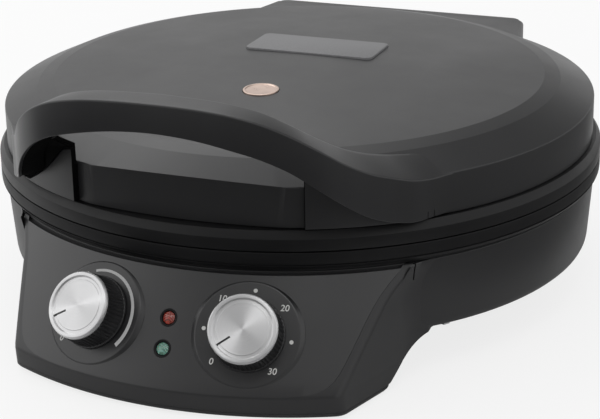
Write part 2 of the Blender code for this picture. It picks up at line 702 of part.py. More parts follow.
def element_holes(name, ends, side, parent, origin):
    low = mirrored_height(side, RIM_SPIGOT_DEPTH + FIT_GAP)
    high = mirrored_height(side, RIM_SPIGOT_DEPTH + REFLECTOR_DEPTH + OVERRUN)
    shapes = [moved(rod(ELEMENT_HOLE_RADIUS, min(low, high), max(low, high)),
                    Matrix.Translation((end.x, end.y, 0))) for end in ends]
    return form(name, merged(shapes), parent, origin)


def screw_shape(radius, length, head_radius, head):
    """A plain screw along Z: its shank runs up from the head's inner face at nought."""
    return turned([(0, -head), (head_radius, -head), (head_radius, 0), (radius, 0),
                   (radius, length), (0, length)], SMALL_STEPS // 2)


def screws(name, shape_sizes, frames, parent, origin):
    """One object per screw, all alike and numbered from one."""
    for number, place in enumerate(frames, start=1):
        shape = moved(screw_shape(*shape_sizes), place)
        piece(name + "_" + str(number), shape, STEEL, parent, origin)


def rim_screws(name, side, parent, origin):
    seat = mirrored_height(side, RIM_SPIGOT_DEPTH + 2 * FIT_GAP + REFLECTOR_SHEET)
    turn = Matrix.Rotation(0 if side == BASE_SIDE else pi, 4, "X")
    frames = [Matrix.Translation(at_angle(angle, RIM_SCREW_CIRCLE, seat)) @ turn
              for angle in RIM_SCREW_ANGLES]
    screws(name, (RIM_SCREW_RADIUS, RIM_SCREW_LENGTH, RIM_SCREW_HEAD_RADIUS, RIM_SCREW_HEAD),
           frames, parent, origin)


lower_reflector = piece("lower_reflector", turned(
    reflector_profile(BASE_SIDE), INNER_STEPS), ALUMINISED)
cut(lower_reflector, lower_screw_holes,
    element_holes("lower_element_holes", lower_ends, BASE_SIDE, oven, (0, 0, 0)))
rim_screws("lower_reflector_screw", BASE_SIDE, oven, (0, 0, 0))

upper_reflector = lid_piece("upper_reflector", turned(
    reflector_profile(LID_SIDE), INNER_STEPS), ALUMINISED)
cut(upper_reflector, upper_screw_holes,
    element_holes("upper_element_holes", upper_ends, LID_SIDE, lid_axis, HINGE_POINT))
rim_screws("upper_reflector_screw", LID_SIDE, lid_axis, HINGE_POINT)


# Lid shell

def dome_profile(inset):
    """Lid outline from the centre to the skirt, moved inwards by a wall or outwards by a gap."""
    top = PARTING_HEIGHT + LID_TOP_RISE - inset
    strip = PARTING_HEIGHT + LID_STRIP_RISE - inset
    points = [(0, top)]
    for share in DOME_RING_SHARES:
        points.append((LID_STRIP_RADIUS * share, top - (top - strip) * share ** 2))
    points += [(LID_STRIP_RADIUS, strip),
               (LID_BAND_RADIUS, PARTING_HEIGHT + LID_BAND_RISE - inset),
               (LID_SIDE_RADIUS - inset - LID_EDGE_ROUND,
                PARTING_HEIGHT + LID_CREASE_RISE - inset + LID_EDGE_ROUND / 2),
               (LID_SIDE_RADIUS - inset, PARTING_HEIGHT + LID_CREASE_RISE - inset - LID_EDGE_ROUND)]
    return points


def dome_slope_at(distance):
    """Surface height and tilt of the dome at a distance from its centre."""
    drop = LID_TOP_RISE - LID_STRIP_RISE
    share = distance / LID_STRIP_RADIUS
    height = PARTING_HEIGHT + LID_TOP_RISE - drop * share ** 2
    return height, atan2(2 * drop * share / LID_STRIP_RADIUS, 1.0)


def scoop_line(inset, half_width):
    """Plan of the scoop's flat-looking wall: a wide arc across the lid's front."""
    centre = SCOOP_FLAT_RADIUS - (LID_SIDE_RADIUS - SCOOP_DEPTH)
    radius = SCOOP_FLAT_RADIUS - inset
    points = []
    for step in range(SCOOP_STEPS + 1):
        x = half_width * (2 * step / SCOOP_STEPS - 1)
        points.append((x, centre - sqrt(radius ** 2 - x ** 2)))
    return points


def scoop_shape(inset, grow):
    """The scoop's room in front of the lid, its sides opening out above the crease."""
    beyond = -(LID_SIDE_RADIUS + CHEEK_PROUD + OVERRUN)
    crease = PARTING_HEIGHT + LID_CREASE_RISE
    flare = (SCOOP_TOP_HALF_WIDTH - SCOOP_HALF_WIDTH) / SCOOP_FLARE_RISE
    lean = (SCOOP_HALF_WIDTH - SCOOP_LOW_HALF_WIDTH) / (crease - LID_BOTTOM)
    rings = []
    for height, half_width in (
            (LID_BOTTOM - 2 * OVERRUN, SCOOP_LOW_HALF_WIDTH - lean * 2 * OVERRUN),
            (crease, SCOOP_HALF_WIDTH),
            (crease + SCOOP_FLARE_RISE, SCOOP_TOP_HALF_WIDTH),
            (crease + 2 * OVERRUN, SCOOP_TOP_HALF_WIDTH + flare * (2 * OVERRUN - SCOOP_FLARE_RISE))):
        line = scoop_line(inset, half_width + grow)
        line += [(half_width + grow, beyond), (-half_width - grow, beyond)]
        rings.append([(x, y, height) for x, y in line])
    return lofted(rings)


def hood_outline(inset, front):
    """Plan of the hood: a flared box with round rear corners."""
    run = HOOD_REAR - HOOD_FRONT
    flare = (HOOD_FRONT_HALF_WIDTH - HOOD_HALF_WIDTH) / run
    corner = HOOD_CORNER - inset
    half = HOOD_HALF_WIDTH - inset
    rear = HOOD_REAR - inset
    right = [(half + flare * (HOOD_REAR - front), front), (half + flare * HOOD_CORNER, rear - corner)]
    for step in range(HOOD_CORNER_STEPS + 1):
        angle = step / HOOD_CORNER_STEPS * pi / 2
        right.append((half - corner + corner * cos(angle), rear - corner + corner * sin(angle)))
    return right + [(-x, y) for x, y in reversed(right)]


def hood_shape(inset, front, low, top, edge_round):
    """The hood body, its top edge rounded over by a smaller last section."""
    rings = [[(x, y, low) for x, y in hood_outline(inset, front)],
             [(x, y, top - edge_round) for x, y in hood_outline(inset, front)]]
    for share in (0.5, 1.0):
        inner = inset + edge_round * (1 - cos(share * pi / 2))
        height = top - edge_round * (1 - sin(share * pi / 2))
        rings.append([(x, y, height) for x, y in hood_outline(inner, front)])
    return lofted(rings)


def cheek_shape(sign, grow=0.0):
    """A cheek of the handle moulding: it wraps the lid's wall and folds over its crease."""
    crease = PARTING_HEIGHT + LID_CREASE_RISE + grow
    outer = LID_SIDE_RADIUS + CHEEK_PROUD + grow
    buried = LID_SIDE_RADIUS - LID_WALL
    rings = []
    for share in CHEEK_SHARES:
        angle = CHEEK_INNER_ANGLE + (CHEEK_OUTER_ANGLE - CHEEK_INNER_ANGLE) * share
        flare = min((angle - CHEEK_INNER_ANGLE) / CHEEK_FLARE_ANGLE, 1.0)
        angle += grow / outer * (2 * share - 1)
        reach = LID_WALL + CHEEK_BEVEL + (CHEEK_REACH - LID_WALL) * flare
        tip = outer - reach
        surface = crease + LID_SLOPE * (LID_SIDE_RADIUS - tip)
        section = [(buried, LID_BOTTOM + FIT_GAP - grow), (outer, LID_BOTTOM + FIT_GAP - grow),
                   (outer, crease - CHEEK_BEVEL / 2),
                   (outer - CHEEK_BEVEL, crease + CHEEK_BEVEL),
                   (tip, surface + CHEEK_BEVEL / 2), (tip - CHEEK_BEVEL / 2, surface),
                   (tip - CHEEK_BEVEL / 2, surface - LID_WALL), (buried - reach, crease - LID_WALL)]
        rings.append([(sign * r * sin(angle), -r * cos(angle), z) for r, z in section])
    return lofted(rings)


def lug_form(name, profile, start, parent, origin):
    """Two lugs of one side view, left and right of the middle."""
    shapes = []
    for sign in (-1, 1):
        ends = sorted((sign * start, sign * (start + LUG_LENGTH)))
        outline = [(HINGE_Y + y, HINGE_Z + z) for y, z in profile]
        shapes.append(across(outline, *ends))
    return form(name, merged(shapes), parent, origin)


def knuckle_arc(start, end):
    """Points of the hinge knuckle's round side between two angles."""
    points = []
    for step in range(LUG_ARC_STEPS + 1):
        angle = start + (end - start) * step / LUG_ARC_STEPS
        points.append((KNUCKLE_RADIUS * cos(angle), KNUCKLE_RADIUS * sin(angle)))
    return points


def knuckles(radius, start, length, extra):
    """Round bars on the hinge line, left and right of the middle."""
    shapes = []
    turn = Matrix.Rotation(pi / 2, 4, "Y")
    for sign in (-1, 1):
        low = min(sign * (start - extra), sign * (start + length + extra))
        high = max(sign * (start - extra), sign * (start + length + extra))
        bar = moved(rod(radius, low, high, FINE_STEPS // 2), turn)
        shapes.append(moved(bar, Matrix.Translation(HINGE_POINT)))
    return shapes


lid_shell = lid_piece("lid_shell", turned(
    dome_profile(0) + [(LID_SIDE_RADIUS, LID_BOTTOM), (0, LID_BOTTOM)]), SATIN_BLACK)

lid_form = {"parent": lid_axis, "origin": HINGE_POINT}
hood_top = PARTING_HEIGHT + HOOD_TOP_RISE
join(lid_shell, form("hood_form", hood_shape(
    0, HOOD_FRONT, HOOD_BOTTOM, hood_top, HOOD_EDGE_ROUND), **lid_form))
cut(lid_shell, form("scoop_form", scoop_shape(0, 0), **lid_form))

cavity_top = dome_profile(LID_WALL)
lid_cavity = form("lid_cavity", turned(
    cavity_top + [(LID_SIDE_RADIUS - LID_WALL, HOOD_BOTTOM - OVERRUN), (0, HOOD_BOTTOM - OVERRUN)],
    INNER_STEPS), **lid_form)
cut(lid_cavity, form("scoop_backing", scoop_shape(LID_WALL, LID_WALL), **lid_form))
hood_cavity = form("hood_cavity", hood_shape(
    LID_WALL, HOOD_FRONT, HOOD_BOTTOM - OVERRUN, hood_top - LID_WALL, HOOD_EDGE_ROUND), **lid_form)
rim_room = form("rim_room", turned([
    (0, HOOD_BOTTOM - OVERRUN), (RIM_RADIUS + HINGE_RUN_GAP, HOOD_BOTTOM - OVERRUN),
    (RIM_RADIUS + HINGE_RUN_GAP, RIM_ROOM_TOP), (0, RIM_ROOM_TOP)]), **lid_form)
cut(lid_shell, lid_cavity, hood_cavity, rim_room)


# Badge disc and raised plate, each let into a shallow pocket in the dome

def on_dome(y):
    """A frame on the dome's surface, with Z square to it, at a place on the centre line."""
    height, tilt = dome_slope_at(abs(y))
    lean = tilt if y < 0 else -tilt
    return Matrix.Translation((0, y, height)) @ Matrix.Rotation(lean, 4, "X")


def badge_shape(grow, low, high, edge):
    profile = [(0, low), (BADGE_RADIUS + grow, low), (BADGE_RADIUS + grow, high - edge),
               (BADGE_RADIUS + grow - edge, high), (0, high)]
    return moved(turned(profile, FINE_STEPS), on_dome(-BADGE_PLACE))


def raised_plate_shape(grow, low, high, edge):
    rings = [(grow, low), (grow, high - edge)]
    if edge:
        rings.append((grow - edge, high))
    shape = lofted([[(x, y, z) for x, y in rounded_box(
        RAISED_PLATE_LENGTH + 2 * g, RAISED_PLATE_DEPTH + 2 * g, RAISED_PLATE_CORNER + g,
        RAISED_PLATE_CORNER_STEPS)] for g, z in rings])
    return moved(shape, on_dome(PLATE_PLACE))


cut(lid_shell,
    form("badge_pocket", badge_shape(FIT_GAP, -BADGE_SINK - FIT_GAP, OVERRUN, 0), **lid_form),
    form("plate_pocket", raised_plate_shape(
        FIT_GAP, -RAISED_PLATE_SINK - FIT_GAP, OVERRUN, 0), **lid_form))
lid_piece("badge", badge_shape(0, -BADGE_SINK, BADGE_THICKNESS - BADGE_SINK, BADGE_EDGE), ROSE_METAL)
lid_piece("lid_plate", raised_plate_shape(
    0, -RAISED_PLATE_SINK, RAISED_PLATE_THICKNESS - RAISED_PLATE_SINK, RAISED_PLATE_EDGE), PLATE_GREY)


# Handle

HANDLE_BEND_END = HANDLE_STRAIGHT + HANDLE_BEND_RADIUS * HANDLE_BEND
HANDLE_SWEEP_END = HANDLE_BEND_END + HANDLE_SWEEP_RADIUS * HANDLE_SWEEP
HANDLE_RUN = HANDLE_SWEEP_END + HANDLE_END_RUN


def handle_stations():
    """Runs from the middle at which the handle has a section, closer together in the tight bend."""
    runs = [0.0, HANDLE_LEVEL_RUN, (HANDLE_LEVEL_RUN + HANDLE_STRAIGHT) / 2]
    for start, end, steps in ((HANDLE_STRAIGHT, HANDLE_BEND_END, HANDLE_BEND_STEPS),
                              (HANDLE_BEND_END, HANDLE_SWEEP_END, HANDLE_SWEEP_STEPS)):
        runs += [start + (end - start) * step / steps for step in range(steps)]
    return runs + [HANDLE_SWEEP_END, HANDLE_RUN]


def handle_plan(run):
    """Place and heading of the handle's front face at a run from its middle."""
    sign = -1 if run < 0 else 1
    run = abs(run)
    x, y, heading = min(run, HANDLE_STRAIGHT), -HANDLE_FRONT, 0.0
    for start, end, radius in ((HANDLE_STRAIGHT, HANDLE_BEND_END, HANDLE_BEND_RADIUS),
                               (HANDLE_BEND_END, HANDLE_SWEEP_END, HANDLE_SWEEP_RADIUS)):
        if run > start:
            turn = (min(run, end) - start) / radius
            x += radius * (sin(heading + turn) - sin(heading))
            y += radius * (cos(heading) - cos(heading + turn))
            heading += turn
    beyond = max(run - HANDLE_SWEEP_END, 0.0)
    x += beyond * cos(heading)
    y += beyond * sin(heading)
    return Vector((sign * x, y)), sign * heading


def handle_fall(run):
    """One at the middle of the arch, falling to nought where the handle meets the lid wall."""
    share = (abs(run) - HANDLE_LEVEL_RUN) / (HANDLE_FALL_END - HANDLE_LEVEL_RUN)
    share = min(max(share, 0.0), 1.0)
    return (1 + cos(pi * share)) / 2


def handle_section(run, low, high, inset, edge_round):
    """One cross-section from `low` above the under edge to `high` above it or below the crown."""
    place, heading = handle_plan(run)
    inward = Vector((-sin(heading), cos(heading)))
    fall = handle_fall(run)
    depth = HANDLE_END_DEPTH + (HANDLE_DEPTH - HANDLE_END_DEPTH) * fall
    under = PARTING_HEIGHT + HANDLE_END_UNDER_RISE + (HANDLE_UNDER_RISE - HANDLE_END_UNDER_RISE) * fall
    top = PARTING_HEIGHT + HANDLE_END_TOP_RISE + (HANDLE_TOP_RISE - HANDLE_END_TOP_RISE) * fall
    bottom = under + low
    crown = under + high if high > 0 else top + high
    slant = edge_round * (1 - sqrt(0.5))
    outline = [(inset, bottom), (inset, crown - edge_round), (inset + slant, crown - slant),
               (inset + edge_round, crown), (depth - inset - edge_round, crown),
               (depth - inset - slant, crown - slant), (depth - inset, crown - edge_round),
               (depth - inset, bottom)]
    return [(*(place + inward * across_face), height) for across_face, height in outline]


def handle_shape(low, high, inset, edge_round, solid_stations=0):
    runs = handle_stations()
    runs = runs[:len(runs) - solid_stations]
    return lofted([handle_section(run, low, high, inset, edge_round)
                   for run in [-run for run in reversed(runs[1:])] + runs])


def radial_bars(radius, start, end, height):
    """Bars square to the lid wall at the handle's screw places."""
    shapes = []
    for sign in (-1, 1):
        for angle in HANDLE_SCREW_ANGLES:
            bar = turned([(0, start), (radius, start), (radius, end), (0, end)], SMALL_STEPS // 2)
            shapes.append(moved(bar, radial_frame(sign * angle, height)))
    return shapes


def radial_frame(angle, height):
    """A frame on the oven's axis with Z pointing outwards at a plan angle from the front."""
    outward = Matrix.Rotation(radians(angle), 4, "Z") @ Matrix.Rotation(pi / 2, 4, "X")
    return Matrix.Translation((0, 0, height)) @ outward


# Clearance body: the lid's outer face, grown by the fitting gap
lid_clearance = form("lid_clearance", turned(
    dome_profile(-FIT_GAP) + [(LID_SIDE_RADIUS + FIT_GAP, PARTING_HEIGHT), (0, PARTING_HEIGHT)]),
    **lid_form)
screw_height = PARTING_HEIGHT + HANDLE_SCREW_RISE
screw_seat = LID_SIDE_RADIUS - LID_WALL - HANDLE_SCREW_SEAT_GAP
handle_bore = form("handle_bore", merged(radial_bars(
    HANDLE_SCREW_RADIUS + FIT_GAP, screw_seat - OVERRUN,
    screw_seat + HANDLE_SCREW_LENGTH + FIT_GAP, screw_height)), **lid_form)

handle = lid_piece("handle", handle_shape(0, 0, 0, HANDLE_EDGE_ROUND), SATIN_BLACK)
# The exact solver leaves open edges in this curved moulding, so it takes the manifold one
cut(handle, form("cover_room", handle_shape(
    -OVERRUN, HANDLE_COVER_HEIGHT + HANDLE_COVER_GAP, -OVERRUN / 2, 0.0), **lid_form),
    solver="MANIFOLD")
join(handle, form("left_cheek", cheek_shape(-1), **lid_form),
     form("right_cheek", cheek_shape(1), **lid_form), solver="MANIFOLD")
cut(handle, form("handle_hollow", handle_shape(
    -OVERRUN, -HANDLE_WALL, HANDLE_WALL, HANDLE_WALL / 2, HANDLE_SOLID_STATIONS), **lid_form),
    lid_clearance, handle_bore, solver="MANIFOLD")
handle_cover = lid_piece("handle_cover", handle_shape(
    0, HANDLE_COVER_HEIGHT, HANDLE_COVER_INSET, 0.0), SATIN_BLACK)
cut(handle_cover, form("cheek_room", merged([
    cheek_shape(-1, FIT_GAP), cheek_shape(1, FIT_GAP)]), **lid_form), lid_clearance)
cut(lid_shell, handle_bore)

handle_screw_frames = [
    radial_frame(sign * angle, screw_height) @ Matrix.Translation((0, 0, screw_seat))
    for sign in (-1, 1) for angle in HANDLE_SCREW_ANGLES]
screws("handle_screw", (HANDLE_SCREW_RADIUS, HANDLE_SCREW_LENGTH, HANDLE_SCREW_HEAD_RADIUS,
                        HANDLE_SCREW_HEAD), handle_screw_frames, lid_axis, HINGE_POINT)


# The lid's hinge lugs

lug_top = hood_top - LID_WALL / 2 - HINGE_Z
lug_rear = HINGE_INSET - LID_WALL / 2
lid_lug_profile = [(-LID_LUG_DEPTH, lug_top)] + knuckle_arc(
    pi - asin(sqrt(1 - (LID_LUG_DEPTH / KNUCKLE_RADIUS) ** 2)), 2 * pi + acos(
        lug_rear / KNUCKLE_RADIUS)) + [(lug_rear, lug_top)]
join(lid_shell, lug_form("lid_lug_form", lid_lug_profile, LID_LUG_INNER, lid_axis, HINGE_POINT))
base_lug_room = sqrt(BASE_LUG_DEPTH ** 2 + BASE_LUG_DROP ** 2) + HINGE_RUN_GAP
cut(lid_shell,
    form("base_lug_room", merged(knuckles(
        base_lug_room, BASE_LUG_INNER, LUG_LENGTH + PIN_HEAD, LUG_SIDE_GAP)), **lid_form),
    form("lid_pin_bore", merged(knuckles(
        PIN_RADIUS + PIN_GAP, LID_LUG_INNER, LUG_LENGTH, OVERRUN)), **lid_form))


# Base shell: bowl, control housing and hinge pedestal in one moulding

def housing_outline(radius, inset, corner, rear):
    """Plan of the control housing: a front arc, round corners and flared flat sides."""
    reach = HOUSING_SIDE_REACH - inset
    across_run = reach - corner
    back_run = -sqrt((radius - corner) ** 2 - across_run ** 2)
    centre = SIDE_NORMAL * across_run + SIDE_RUN * back_run
    arc_end = atan2(centre.x, -centre.y)
    side_angle = atan2(SIDE_NORMAL.x, -SIDE_NORMAL.y)
    points = []
    for step in range(1, HOUSING_ARC_STEPS + 1):
        angle = arc_end * step / HOUSING_ARC_STEPS
        points.append((radius * sin(angle), -radius * cos(angle)))
    for step in range(1, HOUSING_CORNER_STEPS + 1):
        angle = arc_end + (side_angle - arc_end) * step / HOUSING_CORNER_STEPS
        points.append((centre.x + corner * sin(angle), centre.y - corner * cos(angle)))
    to_rear = (-rear + reach * sin(HOUSING_FLARE)) / cos(HOUSING_FLARE)
    end = SIDE_NORMAL * reach + SIDE_RUN * to_rear
    points.append((end.x, end.y))
    return [(0, -radius)] + points + [(-x, y) for x, y in reversed(points)]


def housing_loft(levels, rear):
    """Housing sections, each a height with its face depth, side inset and corner radius."""
    rings = []
    for height, depth, inset, corner in levels:
        outline = housing_outline(panel_radius(height) - depth, inset, corner, rear)
        rings.append([(x, y, height) for x, y in outline])
    return lofted(rings)


def face_depth(thickness):
    """Radial depth that gives a wall thickness square to the sloping face."""
    return thickness / cos(PANEL_TILT)


def arch_outline(forward, low, top):
    """Side view of the space behind the housing's foot, arching up to the bowl."""
    rise = BOWL_BOTTOM - FOOT_CLEARANCE
    points = [(-ARCH_FRONT - forward, low)]
    for depth_share, rise_share in ARCH_SHARES:
        points.append((-ARCH_FRONT - forward + ARCH_DEPTH * depth_share,
                       FOOT_CLEARANCE + rise * rise_share))
    points.append((-ARCH_FRONT - forward + ARCH_DEPTH, top))
    return points + [(-HOUSING_REAR + OVERRUN, top), (-HOUSING_REAR + OVERRUN, low)]


housing_form = form("housing_form", housing_loft([
    (FOOT_CLEARANCE, SKIRT_EDGE, SKIRT_EDGE, HOUSING_CORNER),
    (FOOT_CLEARANCE + SKIRT_EDGE, 0, 0, HOUSING_CORNER),
    (PANEL_FOOT_HEIGHT, 0, 0, HOUSING_CORNER),
    (BOWL_TOP, 0, 0, HOUSING_CORNER)], HOUSING_REAR))
side_reach = HOUSING_SIDE_REACH + OVERRUN
cut(housing_form, form("arch_form", across(
    arch_outline(0, -OVERRUN, BOWL_BOTTOM + FIT_GAP), -side_reach, side_reach)))

base_shell = piece("base_shell", turned([
    (0, BOWL_TOP), (BOWL_TOP_RADIUS, BOWL_TOP),
    (BOWL_LOW_RADIUS, BOWL_BOTTOM + BOWL_EDGE_ROUND),
    (BOWL_LOW_RADIUS - BOWL_EDGE_ROUND * (1 - sqrt(0.5)),
     BOWL_BOTTOM + BOWL_EDGE_ROUND * (1 - sqrt(0.5))),
    (BOWL_LOW_RADIUS - BOWL_EDGE_ROUND, BOWL_BOTTOM), (0, BOWL_BOTTOM)]), SATIN_BLACK)


def pedestal_outline(inset, front):
    half = PEDESTAL_HALF_WIDTH - inset
    rear = PEDESTAL_REAR - inset
    corner = PEDESTAL_CORNER - inset
    right = [(half, front)]
    for step in range(HOOD_CORNER_STEPS + 1):
        angle = step / HOOD_CORNER_STEPS * pi / 2
        right.append((half - corner + corner * cos(angle), rear - corner + corner * sin(angle)))
    return right + [(-x, y) for x, y in reversed(right)]


pedestal_form = form("pedestal_form", upright(
    pedestal_outline(0, PEDESTAL_FRONT), FOOT_CLEARANCE, PEDESTAL_TOP))
cut(pedestal_form, form("lower_rim_room", turned([
    (0, BOWL_TOP), (RIM_RADIUS + HINGE_RUN_GAP, BOWL_TOP),
    (RIM_RADIUS + HINGE_RUN_GAP, PEDESTAL_TOP + OVERRUN), (0, PEDESTAL_TOP + OVERRUN)])))

cover_boss_places = [at_angle(angle, COVER_SCREW_CIRCLE) for angle in COVER_SCREW_ANGLES]
cover_bosses = merged([moved(
    rod(COVER_BOSS_RADIUS, BOWL_BOTTOM + BASE_WALL / 2, BOWL_BOTTOM + BASE_WALL + COVER_BOSS_HEIGHT),
    Matrix.Translation(place)) for place in cover_boss_places])
join(base_shell, housing_form, pedestal_form)

inner_low = BOWL_LOW_RADIUS - BASE_WALL
inner_top = BOWL_TOP_RADIUS - BASE_WALL
inner_round = BOWL_EDGE_ROUND - BASE_WALL
bowl_cavity = form("bowl_cavity", turned([
    (0, BOWL_TOP + OVERRUN), (inner_top, BOWL_TOP + OVERRUN), (inner_top, BOWL_TOP),
    (inner_low, BOWL_BOTTOM + BASE_WALL + inner_round),
    (inner_low - inner_round, BOWL_BOTTOM + BASE_WALL), (0, BOWL_BOTTOM + BASE_WALL)],
    INNER_STEPS))

cavity_top_height = BOWL_TOP - HOUSING_CAVITY_DROP
cavity_corner = HOUSING_CORNER - HOUSING_SIDE_WALL
wall_depth = face_depth(HOUSING_FACE_WALL)
housing_cavity = form("housing_cavity", housing_loft([
    (-OVERRUN, wall_depth, HOUSING_SIDE_WALL, cavity_corner),
    (PANEL_FOOT_HEIGHT, wall_depth, HOUSING_SIDE_WALL, cavity_corner),
    (cavity_top_height, wall_depth, HOUSING_SIDE_WALL, cavity_corner)],
    HOUSING_REAR + 2 * OVERRUN))
cut(housing_cavity, form("arch_backing", across(
    arch_outline(BASE_WALL, -2 * OVERRUN, BOWL_BOTTOM + BASE_WALL), -side_reach, side_reach)))

pedestal_cavity = form("pedestal_cavity", upright(
    pedestal_outline(BASE_WALL, PEDESTAL_FRONT + BASE_WALL),
    FOOT_CLEARANCE + BASE_WALL, PEDESTAL_TOP - PEDESTAL_CAVITY_DROP))
cut(base_shell, bowl_cavity, housing_cavity, pedestal_cavity)
join(base_shell, form("cover_boss_form", cover_bosses))


def bottom_outline(grow):
    """The bottom opening: a circle with its front and rear sides cut straight."""
    radius = BOTTOM_OPENING_RADIUS + grow
    start = acos((BOTTOM_OPENING_FRONT + grow) / radius)
    end = pi - acos((BOTTOM_OPENING_REAR + grow) / radius)
    side = []
    for step in range(FINE_STEPS // 2 + 1):
        angle = start + (end - start) * step / (FINE_STEPS // 2)
        side.append((radius * sin(angle), -radius * cos(angle)))
    return side + [(-x, y) for x, y in reversed(side)]


cut(base_shell, form("bottom_opening", upright(
    bottom_outline(0), BOWL_BOTTOM - OVERRUN, BOWL_BOTTOM + BASE_WALL + OVERRUN)))


# Control panel set into the housing's sloping face

def panel_levels(depth, grow, over):
    """Panel sections from its round lower corners up to its top edge."""
    low = PANEL_FOOT_HEIGHT + FIT_GAP - grow
    top = BOWL_TOP - PANEL_TOP_DROP + grow + over
    levels = []
    for share in PANEL_CORNER_SHARES:
        angle = share * pi / 2
        height = low + (PANEL_CORNER + grow) * (1 - cos(angle))
        inset = PANEL_BORDER - grow + (PANEL_CORNER + grow) * (1 - sin(angle))
        levels.append((height, depth, inset, HOUSING_CORNER - PANEL_BORDER))
    levels.append((top, depth, PANEL_BORDER - grow, HOUSING_CORNER - PANEL_BORDER))
    return levels


def panel_back(name, thickness):
    """Everything behind a sloping sheet of the given thickness."""
    depth = face_depth(thickness)
    top = BOWL_TOP + OVERRUN
    return form(name, turned([
        (0, -OVERRUN), (panel_radius(PANEL_FOOT_HEIGHT) - depth, -OVERRUN),
        (panel_radius(PANEL_FOOT_HEIGHT) - depth, PANEL_FOOT_HEIGHT),
        (panel_radius(top) - depth, top), (0, top)], 2 * TURN_STEPS))


control_panel = piece("control_panel", housing_loft(
    panel_levels(0, 0, 0), HOUSING_REAR + 2 * OVERRUN), SATIN_BLACK)
cut(control_panel, panel_back("panel_back", PANEL_THICKNESS))

recess_form = form("panel_recess", housing_loft(
    panel_levels(-OVERRUN, FIT_GAP, OVERRUN), HOUSING_REAR + 2 * OVERRUN))
cut(recess_form, panel_back("recess_back", PANEL_THICKNESS + FIT_GAP))
window_low = PANEL_FOOT_HEIGHT + PANEL_LEDGE
window_inset = PANEL_BORDER + PANEL_LEDGE
window_form = form("panel_window", housing_loft([
    (window_low, -OVERRUN, window_inset + PANEL_LEDGE, HOUSING_CORNER),
    (window_low + PANEL_LEDGE, -OVERRUN, window_inset, HOUSING_CORNER),
    (cavity_top_height - BASE_WALL, -OVERRUN, window_inset, HOUSING_CORNER)],
    HOUSING_REAR + 2 * OVERRUN))
cut(window_form, panel_back("window_back", WINDOW_DEPTH))


def dial_frame(side):
    """A frame on the panel face at a dial, with Z along the knob's axis."""
    angle = side * DIAL_ANGLE
    place = Vector((DIAL_RADIUS * sin(angle), -DIAL_RADIUS * cos(angle), DIAL_HEIGHT))
    turn = Matrix.Rotation(angle, 4, "Z") @ Matrix.Rotation(pi / 2 - PANEL_TILT, 4, "X")
    return Matrix.Translation(place) @ turn


def lamp_frame(height):
    place = Vector((0, -panel_radius(height), height))
    return Matrix.Translation(place) @ Matrix.Rotation(pi / 2 - PANEL_TILT, 4, "X")


for side, name in ((-1, "left_dial_form"), (1, "right_dial_form")):
    join(control_panel, form(name, moved(rod(
        DIAL_BASE_RADIUS, -DIAL_SINK, DIAL_PROUD, FINE_STEPS, DIAL_TOP_RADIUS), dial_frame(side))))
spindle_bore = SPINDLE_RADIUS + SPINDLE_GAP
panel_holes = [moved(rod(spindle_bore, -PANEL_THICKNESS - OVERRUN, OVERRUN), dial_frame(side))
               for side in (-1, 1)]
panel_holes += [moved(rod(LAMP_HOLE_RADIUS, -PANEL_THICKNESS - OVERRUN, OVERRUN, FINE_STEPS // 2),
                      lamp_frame(height)) for height in LAMP_HEIGHTS.values()]
cut(control_panel, form("panel_holes", merged(panel_holes)))


# Indicator lamps

def lamp_lens(name, height, look):
    rings = [(0, -LENS_SINK - LENS_DEPTH), (LENS_RADIUS, -LENS_SINK - LENS_DEPTH),
             (LENS_RADIUS, -LENS_SINK)]
    for share in (0.66, 0.33):
        rings.append((LENS_RADIUS * share, -LENS_SINK + LENS_DOME * (1 - share ** 2)))
    rings.append((0, -LENS_SINK + LENS_DOME))
    piece(name, moved(turned(rings, FINE_STEPS // 2), lamp_frame(height)), look)


lamp_lens("red_lens", LAMP_HEIGHTS["red"], RED_LENS)
lamp_lens("green_lens", LAMP_HEIGHTS["green"], GREEN_LENS)

holder_back = -PANEL_THICKNESS - FIT_GAP - HOLDER_DEPTH
for colour, height in LAMP_HEIGHTS.items():
    sleeve = turned([
        (LENS_RADIUS + FIT_GAP, holder_back), (HOLDER_RADIUS, holder_back),
        (HOLDER_RADIUS, -PANEL_THICKNESS - 2 * FIT_GAP),
        (LAMP_HOLE_RADIUS - FIT_GAP, -PANEL_THICKNESS - 2 * FIT_GAP),
        (LAMP_HOLE_RADIUS - FIT_GAP, -HOLDER_LIP_SINK),
        (LENS_RADIUS + FIT_GAP, -HOLDER_LIP_SINK)], FINE_STEPS // 2)
    piece(colour + "_lamp_holder", moved(sleeve, lamp_frame(height)), RIM_BLACK)


# Knobs with their caps and spindles, and the controls behind the panel

def knob_grip():
    """Ribbed grip with a plain skirt, a seat for the cap and a bore for the spindle."""
    def ring(radius, rib, height):
        points = []
        for step in range(2 * KNOB_RIBS):
            angle = pi * step / KNOB_RIBS
            reach = radius - (rib if step % 2 else 0)
            points.append((reach * cos(angle), reach * sin(angle), height))
        return points

    top = CAP_SEAT - FIT_GAP
    body = lofted([ring(KNOB_SKIRT_RADIUS, 0, FIT_GAP),
                   ring(KNOB_SKIRT_RADIUS, 0, KNOB_SKIRT),
                   ring(KNOB_BASE_RADIUS, KNOB_RIB_DEPTH, KNOB_SKIRT + KNOB_RIB_DEPTH),
                   ring(KNOB_TOP_RADIUS, KNOB_RIB_DEPTH, top)])
    return body


def spindle_shape(grow, low, high):
    """Round shaft with a flat on one side."""
    radius = SPINDLE_RADIUS + grow
    flat = SPINDLE_RADIUS * SPINDLE_FLAT_SHARE + grow
    reach = acos(flat / radius)
    outline = []
    for step in range(SMALL_STEPS + 1):
        angle = reach + (2 * pi - 2 * reach) * step / SMALL_STEPS
        outline.append((radius * cos(angle), radius * sin(angle)))
    return upright(outline, low, high)


